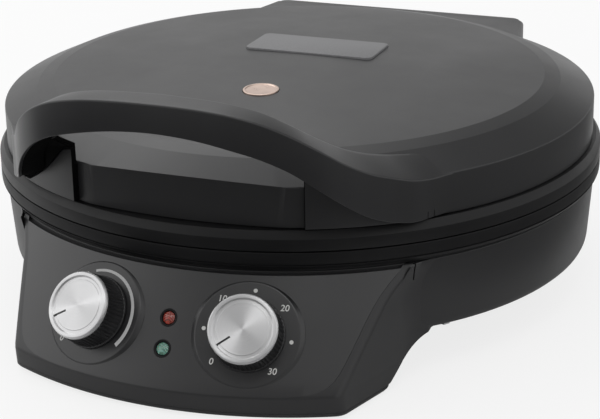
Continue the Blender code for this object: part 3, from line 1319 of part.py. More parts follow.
def knob_set(name, side):
    axis = empty(name + "_axis", (0, 0, 0), oven)
    axis.matrix_local = dial_frame(side) @ Matrix.Translation((0, 0, DIAL_PROUD))
    here = {"parent": axis}
    grip = piece(name + "_knob", knob_grip(), RIM_BLACK, axis)
    cut(grip,
        form(name + "_cap_seat", rod(CAP_SPIGOT_RADIUS + FIT_GAP, CAP_SEAT - CAP_SPIGOT - 2 * FIT_GAP,
                                     CAP_SEAT + OVERRUN, FINE_STEPS), **here),
        form(name + "_spindle_bore", spindle_shape(
            FIT_GAP, -OVERRUN, SPINDLE_IN_KNOB + FIT_GAP), **here))
    piece(name + "_cap", turned([
        (0, CAP_SEAT - CAP_SPIGOT), (CAP_SPIGOT_RADIUS, CAP_SEAT - CAP_SPIGOT),
        (CAP_SPIGOT_RADIUS, CAP_SEAT), (CAP_RADIUS, CAP_SEAT),
        (CAP_RADIUS, KNOB_LENGTH - CAP_EDGE), (CAP_RADIUS - CAP_EDGE, KNOB_LENGTH),
        (CAP_RADIUS - CAP_RIM, KNOB_LENGTH),
        (CAP_RADIUS - CAP_RIM - CAP_DISH, KNOB_LENGTH - CAP_DISH),
        (0, KNOB_LENGTH - CAP_DISH)], FINE_STEPS), BRUSHED_SILVER, axis)
    body_face = -DIAL_PROUD - PANEL_THICKNESS - FIT_GAP
    piece(name + "_spindle", spindle_shape(
        0, body_face - THERMOSTAT_NECK - SPINDLE_IN_BODY, SPINDLE_IN_KNOB), STEEL, axis)
    return body_face - FIT_GAP


def control_bore(name, side):
    return form(name, moved(rod(
        spindle_bore, -THERMOSTAT_NECK - SPINDLE_IN_BODY - 4 * FIT_GAP - DIAL_PROUD - PANEL_THICKNESS,
        OVERRUN), dial_frame(side)))


body_top = knob_set("thermostat", -1) + DIAL_PROUD
knob_set("timer", 1)
thermostat_body = piece("thermostat_body", moved(turned([
    (0, body_top - THERMOSTAT_DEPTH), (THERMOSTAT_RADIUS, body_top - THERMOSTAT_DEPTH),
    (THERMOSTAT_RADIUS, body_top - THERMOSTAT_NECK),
    (THERMOSTAT_NECK_RADIUS, body_top - THERMOSTAT_NECK),
    (THERMOSTAT_NECK_RADIUS, body_top), (0, body_top)], FINE_STEPS // 2), dial_frame(-1)), STEEL)
cut(thermostat_body, control_bore("thermostat_bore", -1))
timer_box = lofted([[(x, y, z) for x, y in rounded_box(
    TIMER_SIDE, TIMER_SIDE, TIMER_CORNER, RAISED_PLATE_CORNER_STEPS)]
    for z in (body_top - TIMER_DEPTH, body_top - TIMER_SETBACK)])
timer_body = piece("timer_body", moved(timer_box, dial_frame(1)), IVORY)
cut(timer_body, control_bore("timer_bore", 1))


# Hinge lugs, knuckles and pins

base_lug_profile = [(-BASE_LUG_DEPTH, -BASE_LUG_DROP), (-BASE_LUG_DEPTH, 0)] + knuckle_arc(
    pi, -pi / 2) + [(0, -BASE_LUG_DROP)]
join(base_shell, lug_form("base_lug_form", base_lug_profile, BASE_LUG_INNER, oven, (0, 0, 0)))
cut(base_shell,
    form("lid_knuckle_room", merged(knuckles(
        KNUCKLE_RADIUS + HINGE_RUN_GAP, LID_LUG_INNER, LUG_LENGTH, LUG_SIDE_GAP / 2))),
    form("base_pin_bore", merged(knuckles(
        PIN_RADIUS + PIN_GAP, BASE_LUG_INNER, LUG_LENGTH, OVERRUN))))

pin_end = BASE_LUG_INNER + LUG_LENGTH + FIT_GAP
for sign, name in ((-1, "hinge_pin_left"), (1, "hinge_pin_right")):
    pin = turned([(0, LID_LUG_INNER), (PIN_RADIUS, LID_LUG_INNER), (PIN_RADIUS, pin_end),
                  (PIN_HEAD_RADIUS, pin_end), (PIN_HEAD_RADIUS, pin_end + PIN_HEAD),
                  (0, pin_end + PIN_HEAD)], SMALL_STEPS)
    along = Matrix.Translation(HINGE_POINT) @ Matrix.Rotation(sign * pi / 2, 4, "Y")
    piece(name, moved(pin, along), STEEL)


# Covers, feet, cord gland and terminal block

cover_top = BOWL_BOTTOM - FIT_GAP
bottom_cover = piece("bottom_cover", upright(
    bottom_outline(BOTTOM_COVER_LAP), cover_top - COVER_THICKNESS, cover_top), SATIN_BLACK)
cover_screw_holes = form("cover_screw_holes", merged([moved(
    rod(COVER_SCREW_RADIUS + FIT_GAP, cover_top - COVER_THICKNESS - OVERRUN,
        cover_top - COVER_THICKNESS + COVER_SCREW_LENGTH + FIT_GAP, SMALL_STEPS // 2),
    Matrix.Translation(place)) for place in cover_boss_places]))
cut(bottom_cover, cover_screw_holes)
cut(base_shell, cover_screw_holes)

screw_face = cover_top - COVER_THICKNESS - FIT_GAP
screws("bottom_cover_screw", (COVER_SCREW_RADIUS, COVER_SCREW_LENGTH, COVER_SCREW_HEAD_RADIUS,
                              COVER_SCREW_HEAD),
       [Matrix.Translation((place.x, place.y, screw_face)) for place in cover_boss_places],
       oven, (0, 0, 0))

front_cover_low = FOOT_CLEARANCE + FIT_GAP
front_cover_top = front_cover_low + COVER_THICKNESS
cover_corner = cavity_corner - FIT_GAP
front_cover = piece("front_cover", housing_loft([
    (front_cover_low, wall_depth + FIT_GAP, HOUSING_SIDE_WALL + FIT_GAP, cover_corner),
    (front_cover_top, wall_depth + FIT_GAP, HOUSING_SIDE_WALL + FIT_GAP, cover_corner)],
    HOUSING_REAR), SATIN_BLACK)
cut(front_cover, form("front_cover_back", across(
    arch_outline(BASE_WALL + FIT_GAP, -2 * OVERRUN, BOWL_BOTTOM), -side_reach, side_reach)))


def foot(name, x, y, underside):
    """Round rubber foot with a stem pushed into its hole."""
    pad_top = underside - FIT_GAP
    shape = turned([(0, 0), (FOOT_RADIUS - FOOT_EDGE, 0), (FOOT_RADIUS, FOOT_EDGE),
                    (FOOT_RADIUS, pad_top), (FOOT_STEM_RADIUS, pad_top),
                    (FOOT_STEM_RADIUS, FOOT_STEM), (0, FOOT_STEM)], FINE_STEPS // 2)
    piece(name, moved(shape, Matrix.Translation((x, y, 0))), RUBBER)
    return moved(rod(FOOT_STEM_RADIUS + FIT_GAP, -OVERRUN, FOOT_STEM + OVERRUN / 2),
                 Matrix.Translation((x, y, 0)))


front_stems = merged([foot("foot_front_left", -FRONT_FOOT_X, -FRONT_FOOT_Y, front_cover_low),
                      foot("foot_front_right", FRONT_FOOT_X, -FRONT_FOOT_Y, front_cover_low)])
cut(front_cover, form("front_stem_holes", front_stems))
rear_stems = merged([foot("foot_rear_left", -REAR_FOOT_X, REAR_FOOT_Y, FOOT_CLEARANCE),
                     foot("foot_rear_right", REAR_FOOT_X, REAR_FOOT_Y, FOOT_CLEARANCE)])
cut(base_shell, form("rear_stem_holes", rear_stems))

gland_frame = Matrix.Translation((GLAND_X, PEDESTAL_REAR, GLAND_HEIGHT)) @ Matrix.Rotation(
    -pi / 2, 4, "X")
gland_inner = -BASE_WALL - FIT_GAP - GLAND_TAIL
gland = turned([
    (GLAND_BORE_RADIUS, gland_inner), (GLAND_RADIUS - FIT_GAP, gland_inner),
    (GLAND_RADIUS - FIT_GAP, FIT_GAP), (GLAND_FLANGE_RADIUS, FIT_GAP),
    (GLAND_FLANGE_RADIUS, GLAND_FLANGE), (GLAND_RADIUS, GLAND_NOSE),
    (GLAND_BORE_RADIUS, GLAND_NOSE)], FINE_STEPS // 2)
piece("cord_gland", moved(gland, gland_frame), RUBBER)
cut(base_shell, form("gland_hole", moved(rod(
    GLAND_RADIUS, -BASE_WALL - OVERRUN / 2, OVERRUN / 2, FINE_STEPS // 2), gland_frame)))

block_low = FOOT_CLEARANCE + BASE_WALL + FIT_GAP
block_rear = PEDESTAL_REAR - BASE_WALL - GLAND_TAIL
terminal = upright([
    (-TERMINAL_X - TERMINAL_LENGTH / 2, block_rear - TERMINAL_DEPTH),
    (-TERMINAL_X + TERMINAL_LENGTH / 2, block_rear - TERMINAL_DEPTH),
    (-TERMINAL_X + TERMINAL_LENGTH / 2, block_rear),
    (-TERMINAL_X - TERMINAL_LENGTH / 2, block_rear)], block_low, block_low + TERMINAL_HEIGHT)
terminal_block = piece("terminal_block", terminal, IVORY, flat=True)
pitch = TERMINAL_LENGTH / TERMINAL_WAYS
grooves = []
for way in range(1, TERMINAL_WAYS):
    middle = -TERMINAL_X - TERMINAL_LENGTH / 2 + pitch * way
    low = block_low + TERMINAL_HEIGHT - 2 * TERMINAL_GROOVE
    grooves.append(across([
        (block_rear - TERMINAL_DEPTH - OVERRUN, low), (block_rear + OVERRUN, low),
        (block_rear + OVERRUN, block_low + TERMINAL_HEIGHT + OVERRUN),
        (block_rear - TERMINAL_DEPTH - OVERRUN, block_low + TERMINAL_HEIGHT + OVERRUN)],
        middle - TERMINAL_GROOVE / 2, middle + TERMINAL_GROOVE / 2))
cut(terminal_block, form("terminal_grooves", merged(grooves)))

# The panel's recess and window are cut last, through the finished shell
cut(base_shell, recess_form, window_form)
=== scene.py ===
from math import acos, atan2, cos, hypot, pi, radians, sin, sqrt, tan

import bmesh
import bpy
from mathutils import Matrix, Vector


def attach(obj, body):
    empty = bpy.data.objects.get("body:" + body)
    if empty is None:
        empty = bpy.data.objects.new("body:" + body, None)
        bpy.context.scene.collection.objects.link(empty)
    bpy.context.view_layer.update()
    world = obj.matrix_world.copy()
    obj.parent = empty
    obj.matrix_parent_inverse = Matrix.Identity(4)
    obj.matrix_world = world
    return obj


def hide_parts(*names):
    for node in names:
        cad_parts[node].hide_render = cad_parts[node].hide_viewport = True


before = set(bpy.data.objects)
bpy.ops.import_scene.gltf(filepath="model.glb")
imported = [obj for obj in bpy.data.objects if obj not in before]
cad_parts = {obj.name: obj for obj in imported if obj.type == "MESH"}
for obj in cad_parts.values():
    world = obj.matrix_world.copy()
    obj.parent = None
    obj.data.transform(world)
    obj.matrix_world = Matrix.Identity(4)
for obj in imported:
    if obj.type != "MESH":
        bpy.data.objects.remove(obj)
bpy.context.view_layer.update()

# Lower rim: the glass-filled black ring that the cooking plate drops into.
# Injection moulded with a fine groove round its outside, and seated in the bowl's open top.
AXIS_Y = 0.0114467
PARTING = 0.0780
RIM_R = 0.1725
ROUND_STEPS = 160


def eased(outline, steps=3):
    """A closed outline of (across, up, radius) corners, each rounded by its own radius."""
    points = []
    for here, (across, up, radius) in enumerate(outline):
        corner = Vector((across, up))
        if radius == 0:
            points.append((across, up))
            continue
        back = Vector(outline[here - 1][:2]) - corner
        on = Vector(outline[(here + 1) % len(outline)][:2]) - corner
        reach = min(radius / tan(back.angle(on) / 2), 0.48 * back.length, 0.48 * on.length)
        start = corner + back.normalized() * reach
        end = corner + on.normalized() * reach
        for step in range(steps + 1):
            share = step / steps
            points.append(tuple(start * (1 - share) ** 2 + corner * 2 * share * (1 - share)
                                + end * share ** 2))
    return points


def turned(profile, steps=ROUND_STEPS):
    """A closed (radius, height) outline spun once round the upright axis."""
    bm = bmesh.new()
    verts = [bm.verts.new((radius, 0, height)) for radius, height in profile]
    edges = [bm.edges.new(pair) for pair in zip(verts, verts[1:] + verts[:1])]
    bmesh.ops.spin(bm, geom=verts + edges, cent=(0, 0, 0), axis=(0, 0, 1), angle=2 * pi,
                   steps=steps, use_merge=True)
    return cleaned(bm)


def cleaned(bm):
    bmesh.ops.remove_doubles(bm, verts=bm.verts, dist=0.000002)
    bmesh.ops.delete(bm, geom=[edge for edge in bm.edges if not edge.link_faces], context="EDGES")
    bmesh.ops.recalc_face_normals(bm, faces=bm.faces)
    return bm


def mesh_of(bm, name):
    """The form as a mesh; the form itself is let go."""
    mesh = bpy.data.meshes.new(name)
    bm.to_mesh(mesh)
    bm.free()
    return mesh


def shown(name, data):
    """An object with this data, put in the scene."""
    piece = bpy.data.objects.new(name, data)
    bpy.context.scene.collection.objects.link(piece)
    return piece


def settled(name, bm, body, finish, *nodes, crisp=30, ease=0.0, segments=2):
    """Puts a piece on the oven: its mesh, finish, body and the nodes that it stands for."""
    bmesh.ops.translate(bm, verts=bm.verts, vec=(0, AXIS_Y, 0))
    mesh = mesh_of(bm, name)
    mesh.shade_smooth()
    mesh.set_sharp_from_angle(angle=radians(crisp))
    mesh.materials.append(finish)
    piece = shown(name, mesh)
    if ease:
        rounding = piece.modifiers.new("eased_edges", "BEVEL")
        rounding.width = ease
        rounding.segments = segments
        rounding.limit_method = "ANGLE"
        rounding.angle_limit = radians(32)
        rounding.harden_normals = True
    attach(piece, body)
    if nodes:
        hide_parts(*nodes)
    return piece


def plugged(tree, socket, value):
    """A value or a link put on a shader node's socket."""
    if isinstance(value, bpy.types.NodeSocket):
        tree.links.new(value, socket)
    else:
        socket.default_value = value


def fed(tree, node, **sockets):
    for label, value in sockets.items():
        plugged(tree, node.inputs[label.replace("_", " ")], value)
    return node


def wired(tree, kind, **sockets):
    return fed(tree, tree.nodes.new("ShaderNode" + kind), **sockets)


def new_finish(name):
    """A new material, with its node tree and its shader."""
    finish = bpy.data.materials.new(name)
    finish.use_nodes = True
    return finish, finish.node_tree, finish.node_tree.nodes["Principled BSDF"]


def colour_between(tree, share, dark, light):
    """A colour between a dark tone and a light one."""
    mix = wired(tree, "Mix", Factor=share)
    mix.data_type = "RGBA"
    mix.inputs[6].default_value = (*dark, 1)
    mix.inputs[7].default_value = (*light, 1)
    return mix.outputs[2]


def speckled(name, dark, light, rough, grain, height, patch=0.030, metal=0.0, gloss=0.5):
    """Moulded or coated finish: drifting colour and sheen, under a fine moulded grain."""
    finish, tree, shader = new_finish(name)
    place = wired(tree, "TexCoord").outputs["Object"]
    drift = wired(tree, "TexNoise", Vector=place, Scale=1 / patch, Detail=5.0, Roughness=0.6)
    fine = wired(tree, "TexNoise", Vector=place, Scale=1 / grain, Detail=2.0, Roughness=0.55)
    sheen = wired(tree, "MapRange", Value=drift.outputs[0], From_Min=0.3, From_Max=0.7,
                  To_Min=rough[0], To_Max=rough[1])
    relief = wired(tree, "Bump", Height=fine.outputs[0], Strength=0.6, Distance=height)
    fed(tree, shader, Base_Color=colour_between(tree, drift.outputs[0], dark, light), Metallic=metal,
        Specular_IOR_Level=gloss, Roughness=sheen.outputs[0], Normal=relief.outputs[0])
    return finish


def rim_steps(side):
    """The seat and the inner steps that both rims have, below or above the parting line."""
    return [(0.1700, PARTING + side * 0.0109, 0.0004), (0.1609, PARTING + side * 0.0109, 0),
            (0.1609, PARTING + side * 0.0140, 0), (0.1562, PARTING + side * 0.0140, 0),
            (0.1562, PARTING + side * 0.0034, 0), (0.1633, PARTING + side * 0.0034, 0),
            (0.1633, PARTING + side * 0.0003, 0.0003), (RIM_R, PARTING + side * 0.0003, 0.0006)]


rim_finish = speckled("glass_filled_black", (0.004, 0.004, 0.0045), (0.008, 0.008, 0.0085),
                      (0.42, 0.52), 0.00035, 0.00003, gloss=0.20)
GROOVE_FOOT = PARTING - 0.0074
GROOVE = 0.0008
RIM_FOOT = PARTING - 0.0094
settled("lower_rim_ring", turned(eased(rim_steps(-1) + [
    (RIM_R, GROOVE_FOOT + GROOVE, 0.0002), (RIM_R - GROOVE, GROOVE_FOOT + GROOVE, 0),
    (RIM_R - GROOVE, GROOVE_FOOT, 0), (RIM_R, GROOVE_FOOT, 0.0002), (0.1712, RIM_FOOT, 0.0004),
    (0.1700, RIM_FOOT, 0)])), "base", rim_finish, "lower_rim")

# Lower cooking plate: a pressed aluminium dish with a non-stick coat.
# Its flange lies in the rim's seat, and its wall slopes down to the floor that the food lies on.


def dish(side):
    """The flanged dish's outline, facing up in the base and down in the lid."""
    floor = PARTING + side * 0.0118
    back = PARTING + side * 0.0143
    flange = PARTING + side * 0.0007
    under = PARTING + side * 0.0031
    return eased([(0, floor, 0), (0.1509, floor, 0.0030), (0.1546, flange, 0.0012),
                  (0.1630, flange, 0.0005), (0.1630, under, 0), (0.1557, under, 0),
                  (0.1521, back, 0.0010), (0, back, 0)], 5)


nonstick = speckled("nonstick_coat", (0.012, 0.012, 0.013), (0.026, 0.026, 0.028),
                    (0.26, 0.36), 0.0006, 0.00004, 0.012, 0.2)
settled("lower_cooking_plate", turned(dish(-1)), "base", nonstick, "lower_plate")

# Base bowl: the round lower moulding under the rim, satin black and open at the bottom.
# A sheet cover closes it from below, and a short slot each side marks where the housing joins.
satin_black = speckled("satin_black_moulding", (0.010, 0.010, 0.011), (0.015, 0.015, 0.016),
                       (0.36, 0.44), 0.0005, 0.00004, 0.045)
OUTLINE_STEPS = 44
CORNER_STEPS = 8
BOWL_TOP = 0.0667
BOWL_LOW = 0.0260
BOWL_TOP_R = 0.1695
BOWL_LOW_R = 0.1664
BOWL_WALL = 0.0025
SLOT_ANGLE = 40.7
SLOT_LOW = 0.0570


def skinned(rings):
    """A closed form bridged over rings of points, with both of its ends filled."""
    bm = bmesh.new()
    loops = []
    for ring in rings:
        verts = [bm.verts.new(point) for point in ring]
        loops.append([bm.edges.new(pair) for pair in zip(verts, verts[1:] + verts[:1])])
    for near, far in zip(loops, loops[1:]):
        bmesh.ops.bridge_loops(bm, edges=near + far)
    for end in (loops[0], loops[-1]):
        bmesh.ops.contextual_create(bm, geom=end)
    bmesh.ops.recalc_face_normals(bm, faces=bm.faces)
    return bm


def joined(bm, tool, how, solver="EXACT"):
    """The first form united with, or cut by, the second one."""
    holders = []
    for form in (bm, tool):
        holders.append(shown("form", mesh_of(form, "form")))
    step = holders[0].modifiers.new("step", "BOOLEAN")
    step.operation = how
    step.solver = solver
    step.object = holders[1]
    done = holders[0].evaluated_get(bpy.context.evaluated_depsgraph_get())
    result = bmesh.new()
    result.from_mesh(done.to_mesh())
    done.to_mesh_clear()
    for holder in holders:
        mesh = holder.data
        bpy.data.objects.remove(holder)
        bpy.data.meshes.remove(mesh)
    return result


def cut(bm, *tools):
    for tool in tools:
        bm = joined(bm, tool, "DIFFERENCE")
    return bm


def united(bm, *others):
    for other in others:
        bm = joined(bm, other, "UNION")
    return bm


def block(low, high):
    """A plain square-edged form between two corners."""
    bm = bmesh.new()
    bmesh.ops.create_cube(bm, size=1.0)
    size = Vector(high) - Vector(low)
    bmesh.ops.scale(bm, verts=bm.verts, vec=size)
    bmesh.ops.translate(bm, verts=bm.verts, vec=Vector(low) + size / 2)
    return bm


def round_bar(radius, low, high, steps=48):
    return turned([(0, low), (radius, low), (radius, high), (0, high)], steps)


def moved(bm, frame_of_place):
    bmesh.ops.transform(bm, matrix=frame_of_place, verts=bm.verts)
    return bm


def notched(bm, low, high, *angles):
    """A narrow block cut out of a form's front at these angles, on both sides of the middle."""
    for sign in (-1, 1):
        for angle in angles:
            bm = cut(bm, moved(block(low, high), Matrix.Rotation(sign * radians(angle), 4, "Z")))
    return bm


bowl = turned(eased([
    (BOWL_TOP_R, BOWL_TOP, 0.0006), (BOWL_LOW_R, BOWL_LOW, 0.0050), (0, BOWL_LOW, 0),
    (0, BOWL_LOW + BOWL_WALL, 0), (0.1639, BOWL_LOW + BOWL_WALL, 0.0020),
    (0.1670, BOWL_TOP, 0.0004)], 5))
# The bowl's floor is open where the bottom cover closes it
FLOOR_OPENING = ((0.105, -0.104), (0.074, -0.130), (-0.074, -0.130), (-0.105, -0.104), (-0.146, 0),
                 (-0.105, 0.104), (-0.07, 0.128), (0.07, 0.128), (0.105, 0.104), (0.146, 0))
bowl = cut(bowl, skinned([[(x, y, height) for x, y in FLOOR_OPENING] for height in (0.020, 0.034)]))
bowl = notched(bowl, (-0.0005, -0.1720, SLOT_LOW), (0.0005, -0.1683, 0.0662), SLOT_ANGLE)
settled("base_bowl", bowl, "base", satin_black, ease=0.0003)

# Control housing: the sloping box moulded on the bowl's front, hollow, with a rounded skirt.
# Its face is a cone that the control panel is let into, and an arch frees its foot at the back.
HOUSING_FLARE = radians(17)
HOUSING_HALF = 0.1415
HOUSING_CORNER = 0.0090
FACE_TOP_R = 0.1704
FACE_RUN = 0.0361
FACE_RISE = 0.0527
FACE_TILT = atan2(FACE_RUN, FACE_RISE)
SKIRT_TOP = 0.0140
SKIRT_R = 0.2043
SIDE_OUT = Vector((cos(HOUSING_FLARE), -sin(HOUSING_FLARE)))
SIDE_ALONG = Vector((sin(HOUSING_FLARE), cos(HOUSING_FLARE)))
HOUSING_REAR = 0.0600
TOOL_REAR = HOUSING_REAR + 0.0120
TOOL_LOW = -0.0060


def face_radius(height):
    """Radius of the sloping face, and of the skirt below it."""
    if height >= SKIRT_TOP:
        return FACE_TOP_R + FACE_RUN / FACE_RISE * (BOWL_TOP - height)
    return SKIRT_R + 0.0022 * height / SKIRT_TOP


def bowl_radius(height):
    """Radius of the bowl's wall above its rounded foot."""
    rise = (height - BOWL_LOW - 0.0050) / 0.0357
    return BOWL_LOW_R + (BOWL_TOP_R - BOWL_LOW_R) * min(max(rise, 0), 1)


def housing_ring(radius, inset, corner, rear, height, sweep=0.0):
    """Plan of the housing: front arc, round corners, flared sides that may sweep into the bowl."""
    reach = HOUSING_HALF - inset
    sideways = reach - corner
    backwards = -sqrt((radius - corner) ** 2 - sideways ** 2)
    centre = SIDE_OUT * sideways + SIDE_ALONG * backwards
    arc_end = atan2(centre.x, -centre.y)
    side_end = atan2(SIDE_OUT.x, -SIDE_OUT.y)
    half = []
    for step in range(1, OUTLINE_STEPS + 1):
        angle = arc_end * step / OUTLINE_STEPS
        half.append((radius * sin(angle), -radius * cos(angle)))
    for step in range(1, CORNER_STEPS + 1):
        angle = arc_end + (side_end - arc_end) * step / CORNER_STEPS
        half.append((centre.x + corner * sin(angle), centre.y - corner * cos(angle)))
    if sweep:
        away = bowl_radius(height) + sweep
        out = reach + sweep
        middle = SIDE_OUT * out - SIDE_ALONG * sqrt(away ** 2 - out ** 2)
        first = atan2(-SIDE_OUT.y, -SIDE_OUT.x)
        last = atan2(-middle.y, -middle.x)
        last += 2 * pi if last < first - pi else (-2 * pi if last > first + pi else 0)
        for step in range(11):
            angle = first + (last - first) * step / 10
            half.append((middle.x + sweep * cos(angle), middle.y + sweep * sin(angle)))
    to_rear = (-rear + reach * sin(HOUSING_FLARE)) / cos(HOUSING_FLARE)
    end = SIDE_OUT * reach + SIDE_ALONG * to_rear
    half.append((end.x, end.y))
    plan = [(0, -radius)] + half + [(-x, y) for x, y in reversed(half)]
    return [(x, y, height) for x, y in plan]


def housing_form(levels, rear, sweep=0.0):
    return skinned([housing_ring(face_radius(height) - depth, inset, corner, rear, height, sweep)
                    for height, depth, inset, corner in levels])


def side_view(outline, half_width):
    """A side outline of (y, z) points run across the housing."""
    return skinned([[(x, y, z) for y, z in outline] for x in (-half_width, half_width)])


def foot_arch(forward, low, top):
    """Side outline of the space behind the housing's foot, arching up to the bowl."""
    start = -0.1500 - forward
    span = 0.0330
    rear = -0.0540
    points = [(start, low)]
    for step in range(17):
        share = step / 16
        rise = (3 * share ** 2 - 2 * share ** 3) * 0.35 + share * 0.65
        points.append((start + span * share, 0.0020 + 0.0240 * rise))
    return points + [(start + span, top), (rear, top), (rear, low)]


# Height and side border of the panel's edge: round at the foot, slightly waisted, wide at the top
PANEL_EDGE = ((0.0143, 0.0270), (0.0145, 0.0195), (0.0152, 0.0130), (0.0163, 0.0090),
              (0.0180, 0.0063), (0.0205, 0.0048), (0.0235, 0.0041), (0.0270, 0.0037),
              (0.0320, 0.0035), (0.0380, 0.0034), (0.0440, 0.0034), (0.0500, 0.0032),
              (0.0545, 0.0028), (0.0585, 0.0020), (0.0620, 0.0011), (0.0651, 0.0002))


def panel_levels(depth, grow, over):
    """Levels of the panel from its round lower corners up to its top edge."""
    levels = [(height, depth, border - grow, 0.0060) for height, border in PANEL_EDGE]
    low, top = levels[0], levels[-1]
    return [(low[0] - grow, *low[1:])] + levels[1:-1] + [(top[0] + grow + over, *top[1:])]


def behind_face(thickness):
    """Everything behind a sloping sheet of this thickness."""
    depth = thickness / cos(FACE_TILT)
    top = BOWL_TOP + 0.0060
    foot = face_radius(SKIRT_TOP) - depth
    return turned([(0, TOOL_LOW), (foot, TOOL_LOW), (foot, SKIRT_TOP),
                   (face_radius(top) - depth, top), (0, top)], 2 * ROUND_STEPS)


# Height, inset of the face and inset of the sides: a stepped foot, then sides that flare to the top
housing_levels = [(0.0020, 0.0015, 0.0015), (0.0024, 0.0006, 0.0006), (0.0033, 0, 0),
                  (0.0042, 0, 0), (0.0044, 0.0003, 0.0003), (0.0049, 0.0003, 0.0003),
                  (0.0051, 0, 0), (0.0128, 0, 0), (0.0138, 0.0002, 0.0001), (0.0150, 0.0001, 0)]
for step in range(16):
    height = 0.0200 + 0.0461 * step / 15
    widening = 0.0044 * max((height - 0.0480) / 0.0187, 0) ** 2
    housing_levels.append((height, 0, -widening))
housing_levels.append((BOWL_TOP, 0.0007, -0.0037))
housing = housing_form([(*level, HOUSING_CORNER) for level in housing_levels], HOUSING_REAR, 0.0350)
housing = cut(housing, side_view(foot_arch(0, TOOL_LOW, 0.0263), 0.2200))
hollow = housing_form([(height, 0.0050 / cos(FACE_TILT), 0.0030, 0.0060)
                       for height in (TOOL_LOW, SKIRT_TOP, 0.0617)], TOOL_REAR)
hollow = cut(hollow, side_view(foot_arch(0.0025, -0.0120, 0.0285), 0.2200))
PANEL_GAP = 0.00006
IN_FRONT = -0.0060
recess = cut(housing_form(panel_levels(IN_FRONT, PANEL_GAP, 0.0060), TOOL_REAR), behind_face(0.0028))
window = cut(housing_form([(height, IN_FRONT, border, HOUSING_CORNER) for height, border in (
    (0.0200, 0.0150), (0.0260, 0.0090), (0.0592, 0.0090))], TOOL_REAR), behind_face(0.0090))
inside_bowl = round_bar(0.1660, BOWL_LOW + 0.0030, BOWL_TOP + 0.0060, ROUND_STEPS)
housing = cut(housing, hollow, recess, window, inside_bowl)
housing = notched(housing, (-0.0004, -0.1850, SLOT_LOW), (0.0004, -0.1676, 0.0680), SLOT_ANGLE)
settled("control_housing", housing, "base", satin_black, "base_shell", ease=0.00015)

# Hinge pedestal: the square post at the back that carries the two pairs of hinge lugs.
# It is part of the base moulding, hollow, and stands on the rear feet.
HINGE_Y = 0.1805
HINGE_Z = 0.08065
PEDESTAL_TOP = 0.07815
LUG_WIDTH = 0.0190
BASE_LUG_START = 0.0503
LID_LUG_START = 0.0305
KNUCKLE_R = 0.0050
PIN_BORE_R = 0.00212


def rear_box(half, front, rear, corner, flare, height):
    """Plan of a box with round rear corners, wider towards its front by a flare."""
    side = [(half + flare * (rear - front), front), (half + flare * corner, rear - corner)]
    for step in range(CORNER_STEPS + 1):
        angle = step / CORNER_STEPS * pi / 2
        side.append((half - corner + corner * cos(angle), rear - corner + corner * sin(angle)))
    return [(x, y, height) for x, y in side + [(-x, y) for x, y in reversed(side)]]


def hinge_bars(radius, start, length, extra):
    """Round bars on the hinge line, left and right of the middle."""
    bars = []
    for sign in (-1, 1):
        ends = sorted((sign * (start - extra), sign * (start + length + extra)))
        bars.append(moved(round_bar(radius, *ends), Matrix.Translation((0, HINGE_Y, HINGE_Z))
                          @ Matrix.Rotation(pi / 2, 4, "Y")))
    return bars


def knuckle(start, end):
    """The round side of a lug between two angles."""
    return [(KNUCKLE_R * cos(angle), KNUCKLE_R * sin(angle))
            for angle in (start + (end - start) * step / 20 for step in range(21))]


def hinge_lugs(outline, start):
    """A left and a right lug of one side outline."""
    lugs = []
    for sign in (-1, 1):
        ends = sorted((sign * start, sign * (start + LUG_WIDTH)))
        lugs.append(skinned([[(x, HINGE_Y + y, HINGE_Z + z) for y, z in outline] for x in ends]))
    return lugs


pedestal = skinned([rear_box(half, 0.1400, rear, 0.0080, 0, height) for half, rear, height in (
    (0.0754, 0.1764, 0.0020), (0.0760, 0.1770, 0.0028), (0.0760, 0.1770, 0.0772),
    (0.0757, 0.1767, 0.0779), (0.0750, 0.1760, PEDESTAL_TOP))])
pedestal = cut(pedestal, round_bar(RIM_R + 0.0005, BOWL_TOP, 0.0900, ROUND_STEPS),
               round_bar(0.1672, BOWL_LOW + 0.0028, 0.0700, ROUND_STEPS),
               skinned([rear_box(0.0735, 0.1425, 0.1745, 0.0055, 0, height)
                        for height in (0.0045, 0.0620)]))
base_lug = [(-0.0065, -0.0060), (-0.0065, 0)] + knuckle(pi, -pi / 2) + [(0, -0.0060)]
pedestal = united(pedestal, *hinge_lugs(base_lug, BASE_LUG_START))
pedestal = cut(pedestal, *hinge_bars(0.0055, LID_LUG_START, LUG_WIDTH, 0.0004),
               *hinge_bars(PIN_BORE_R, BASE_LUG_START, LUG_WIDTH, 0.0060))
settled("hinge_pedestal", pedestal, "base", satin_black, ease=0.0004)

# Control panel: a thin satin moulding that clips into the housing's sloping face.
# Two raised round dials stand on it behind the knobs, and the lamps show between them.
DIAL_HEIGHT = 0.0401
DIAL_TURN = radians(12.9)
DIAL_PROUD = 0.0005
PANEL_PROUD = 0.0002
PANEL_LOW = 0.0130


def dial_place(side):
    """A frame on the panel's face at a dial, with Z along the knob's axis."""
    angle = side * DIAL_TURN
    radius = face_radius(DIAL_HEIGHT)
    return Matrix.Translation((radius * sin(angle), -radius * cos(angle), DIAL_HEIGHT)) \
        @ Matrix.Rotation(angle, 4, "Z") @ Matrix.Rotation(pi / 2 - FACE_TILT, 4, "X")


def lamp_place(height):
    return Matrix.Translation((0, -face_radius(height), height)) \
        @ Matrix.Rotation(pi / 2 - FACE_TILT, 4, "X")


LAMPS = {"red": 0.0442, "green": 0.0310}
SPINDLE_HOLE_R = 0.0034
LAMP_HOLE_R = 0.0047
HOLE_ENDS = (-0.0085, 0.0060)
panel_finish = speckled("satin_panel", (0.012, 0.012, 0.013), (0.017, 0.017, 0.018),
                        (0.30, 0.38), 0.0004, 0.00002, 0.050, gloss=0.6)
